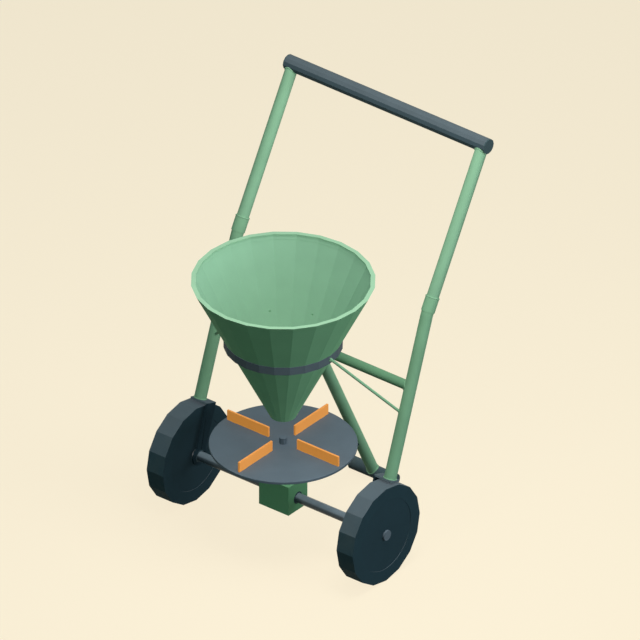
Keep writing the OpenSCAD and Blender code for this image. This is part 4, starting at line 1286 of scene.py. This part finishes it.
@dataclass
class Stage:
    """Floor, light and camera.

    Attributes:
        layout: Sizes of the spreader.
        azimuth: Where the camera stands, in degrees round the object.
        elevation: How far the camera looks down, in degrees.
        away: Distance of the camera.
        view_depth: How far the camera sees.
        pixels_per_metre: Scale of the photograph.
        axle_pixel: Where the photograph shows the middle of the axle.
        frame_pixels: Width and height of the photograph.
        lit_place: Point that the lamps shine at.
        floor_reach: Half the width of the floor.
        floor_colour: Colour of the floor and the background.
        floor_glow: Share of the floor's colour that is there without light.
        cloth_colour: Colour of the floor as it lights the object.
        sky_colour: Colour of the weak light from all round.
        sky_strength: Strength of that light.
    """

    layout: Layout
    azimuth: float = 38.66
    elevation: float = 32.0
    away: float = 4.0
    view_depth: float = 50.0
    pixels_per_metre: float = 423.6
    axle_pixel: tuple[float, float] = (283.2, 491.3)
    frame_pixels: float = 640.0
    lit_place: tuple[float, float, float] = (0.0, -0.05, 0.45)
    floor_reach: float = 20.0
    floor_colour: Colour = rgb(255, 242, 217)
    floor_glow: float = 0.80
    cloth_colour: Colour = (0.10, 0.095, 0.085, 1.0)
    sky_colour: Colour = (0.45, 1.0, 0.95, 1.0)
    sky_strength: float = 0.18

    def camera(self) -> None:
        """Place the camera as the photograph was taken, without perspective."""
        turn, tilt = math.radians(self.azimuth), math.radians(self.elevation)
        ahead = Vector((math.sin(turn), -math.cos(turn), 0))
        back = ahead * math.cos(tilt) + RISE * math.sin(tilt)
        right = Vector((math.cos(turn), math.sin(turn), 0))
        middle = self.frame_pixels / 2
        across = (middle - self.axle_pixel[0]) / self.pixels_per_metre
        rise = (self.axle_pixel[1] - middle) / self.pixels_per_metre
        target = self.layout.at(0, 0, 0) + right * across + back.cross(right) * rise
        data = bpy.data.cameras.new("Camera")
        data.type = "ORTHO"
        data.ortho_scale = self.frame_pixels / self.pixels_per_metre
        data.clip_end = self.view_depth
        made = put_in_scene("Camera", data)
        made.location = target + back * self.away
        aim(made, -back)
        bpy.context.scene.camera = made

    def hang(self, lamp: Lamp) -> None:
        """Hang a lamp and turn it to the object."""
        data = bpy.data.lights.new(lamp.name, lamp.kind.value)
        data.energy = lamp.power
        data.color = lamp.colour
        data.use_shadow = lamp.shadow
        data.diffuse_factor = lamp.diffuse
        if lamp.kind is LampKind.DISC:
            data.shape = "DISK"
            data.size = lamp.spread
        else:
            data.angle = math.radians(lamp.spread)
        made = put_in_scene(lamp.name, data)
        made.location = lamp.place
        aim(made, Vector(self.lit_place) - Vector(lamp.place))

    @staticmethod
    def _pick(sketch: NodeSketch, lighting: Socket, shown: Socket) -> Socket:
        """Show one surface to the camera, in reflections and through glass, and light with another.

        Args:
            sketch: Where the nodes go.
            lighting: What lights the object.
            shown: What is seen.

        Returns:
            The surface that does both.
        """
        path = sketch.node("ShaderNodeLightPath").outputs
        first = sketch.math("MAXIMUM", path["Is Camera Ray"], path["Is Glossy Ray"])
        seen = sketch.math("MAXIMUM", first, path["Is Transmission Ray"])
        return sketch.node("ShaderNodeMixShader", {0: seen, 1: lighting, 2: shown}).outputs[0]

    def world(self) -> None:
        """Surround the object with a weak light, and the view with the floor's colour."""
        made = bpy.data.worlds.new("Studio")
        bpy.context.scene.world = made
        sketch = NodeSketch.on(made)
        nodes = sketch.tree.nodes
        sketch.fill(nodes["Background"], {"Color": self.sky_colour, "Strength": self.sky_strength})
        shown = sketch.node("ShaderNodeBackground", {"Color": self.floor_colour}).outputs[0]
        surface = self._pick(sketch, nodes["Background"].outputs[0], shown)
        sketch.fill(nodes["World Output"], {"Surface": surface})

    def floor_paper(self) -> bpy.types.Material:
        """Make the floor's pale paper, which glows a little where it is seen and keeps the shadow."""
        made = bpy.data.materials.new("Floor paper")
        sketch = NodeSketch.on(made)
        nodes = sketch.tree.nodes
        matt = {"Base Color": self.floor_colour, "Roughness": 1.0, "Specular IOR Level": 0.0}
        sketch.fill(nodes["Principled BSDF"], matt)
        glow = sketch.node("ShaderNodeEmission", {"Color": self.floor_colour}).outputs[0]
        inputs = {0: self.floor_glow, 1: nodes["Principled BSDF"].outputs[0], 2: glow}
        paper = sketch.node("ShaderNodeMixShader", inputs).outputs[0]
        cloth = sketch.node("ShaderNodeBsdfDiffuse", {"Color": self.cloth_colour}).outputs[0]
        sketch.fill(nodes["Material Output"], {"Surface": self._pick(sketch, cloth, paper)})
        return made

    def floor(self) -> None:
        """Lay the floor."""
        work = bmesh.new()
        bmesh.ops.create_grid(work, x_segments=1, y_segments=1, size=self.floor_reach)
        mesh = bpy.data.meshes.new("Floor")
        work.to_mesh(mesh)
        work.free()
        mesh.materials.append(self.floor_paper())
        made = put_in_scene("Floor", mesh)

    def build(self) -> None:
        """Set up the whole stage."""
        self.camera()
        for lamp in LAMPS:
            self.hang(lamp)
        self.world()
        self.floor()
        bpy.context.scene.view_settings.view_transform = "Standard"


def main() -> None:
    """Load the frame, dress it and build the pieces and the stage."""
    logging.basicConfig(level=logging.INFO, format="%(name)s: %(message)s")
    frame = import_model()
    layout = Layout()
    Stage(layout).build()
    shop = Paintshop(Effects(Recipe()))
    bench = Workbench(shop)
    wardrobe = Wardrobe(shop, frame["nodes"])
    for assembly in (Hopper, Shutter, Tubework, Handle, Gearbox, AxleSet, Wheels, Spinner):
        assembly(layout, wardrobe, bench).build()
    bpy.context.view_layer.update()
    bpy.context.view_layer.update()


if __name__ == "__main__":
    main()
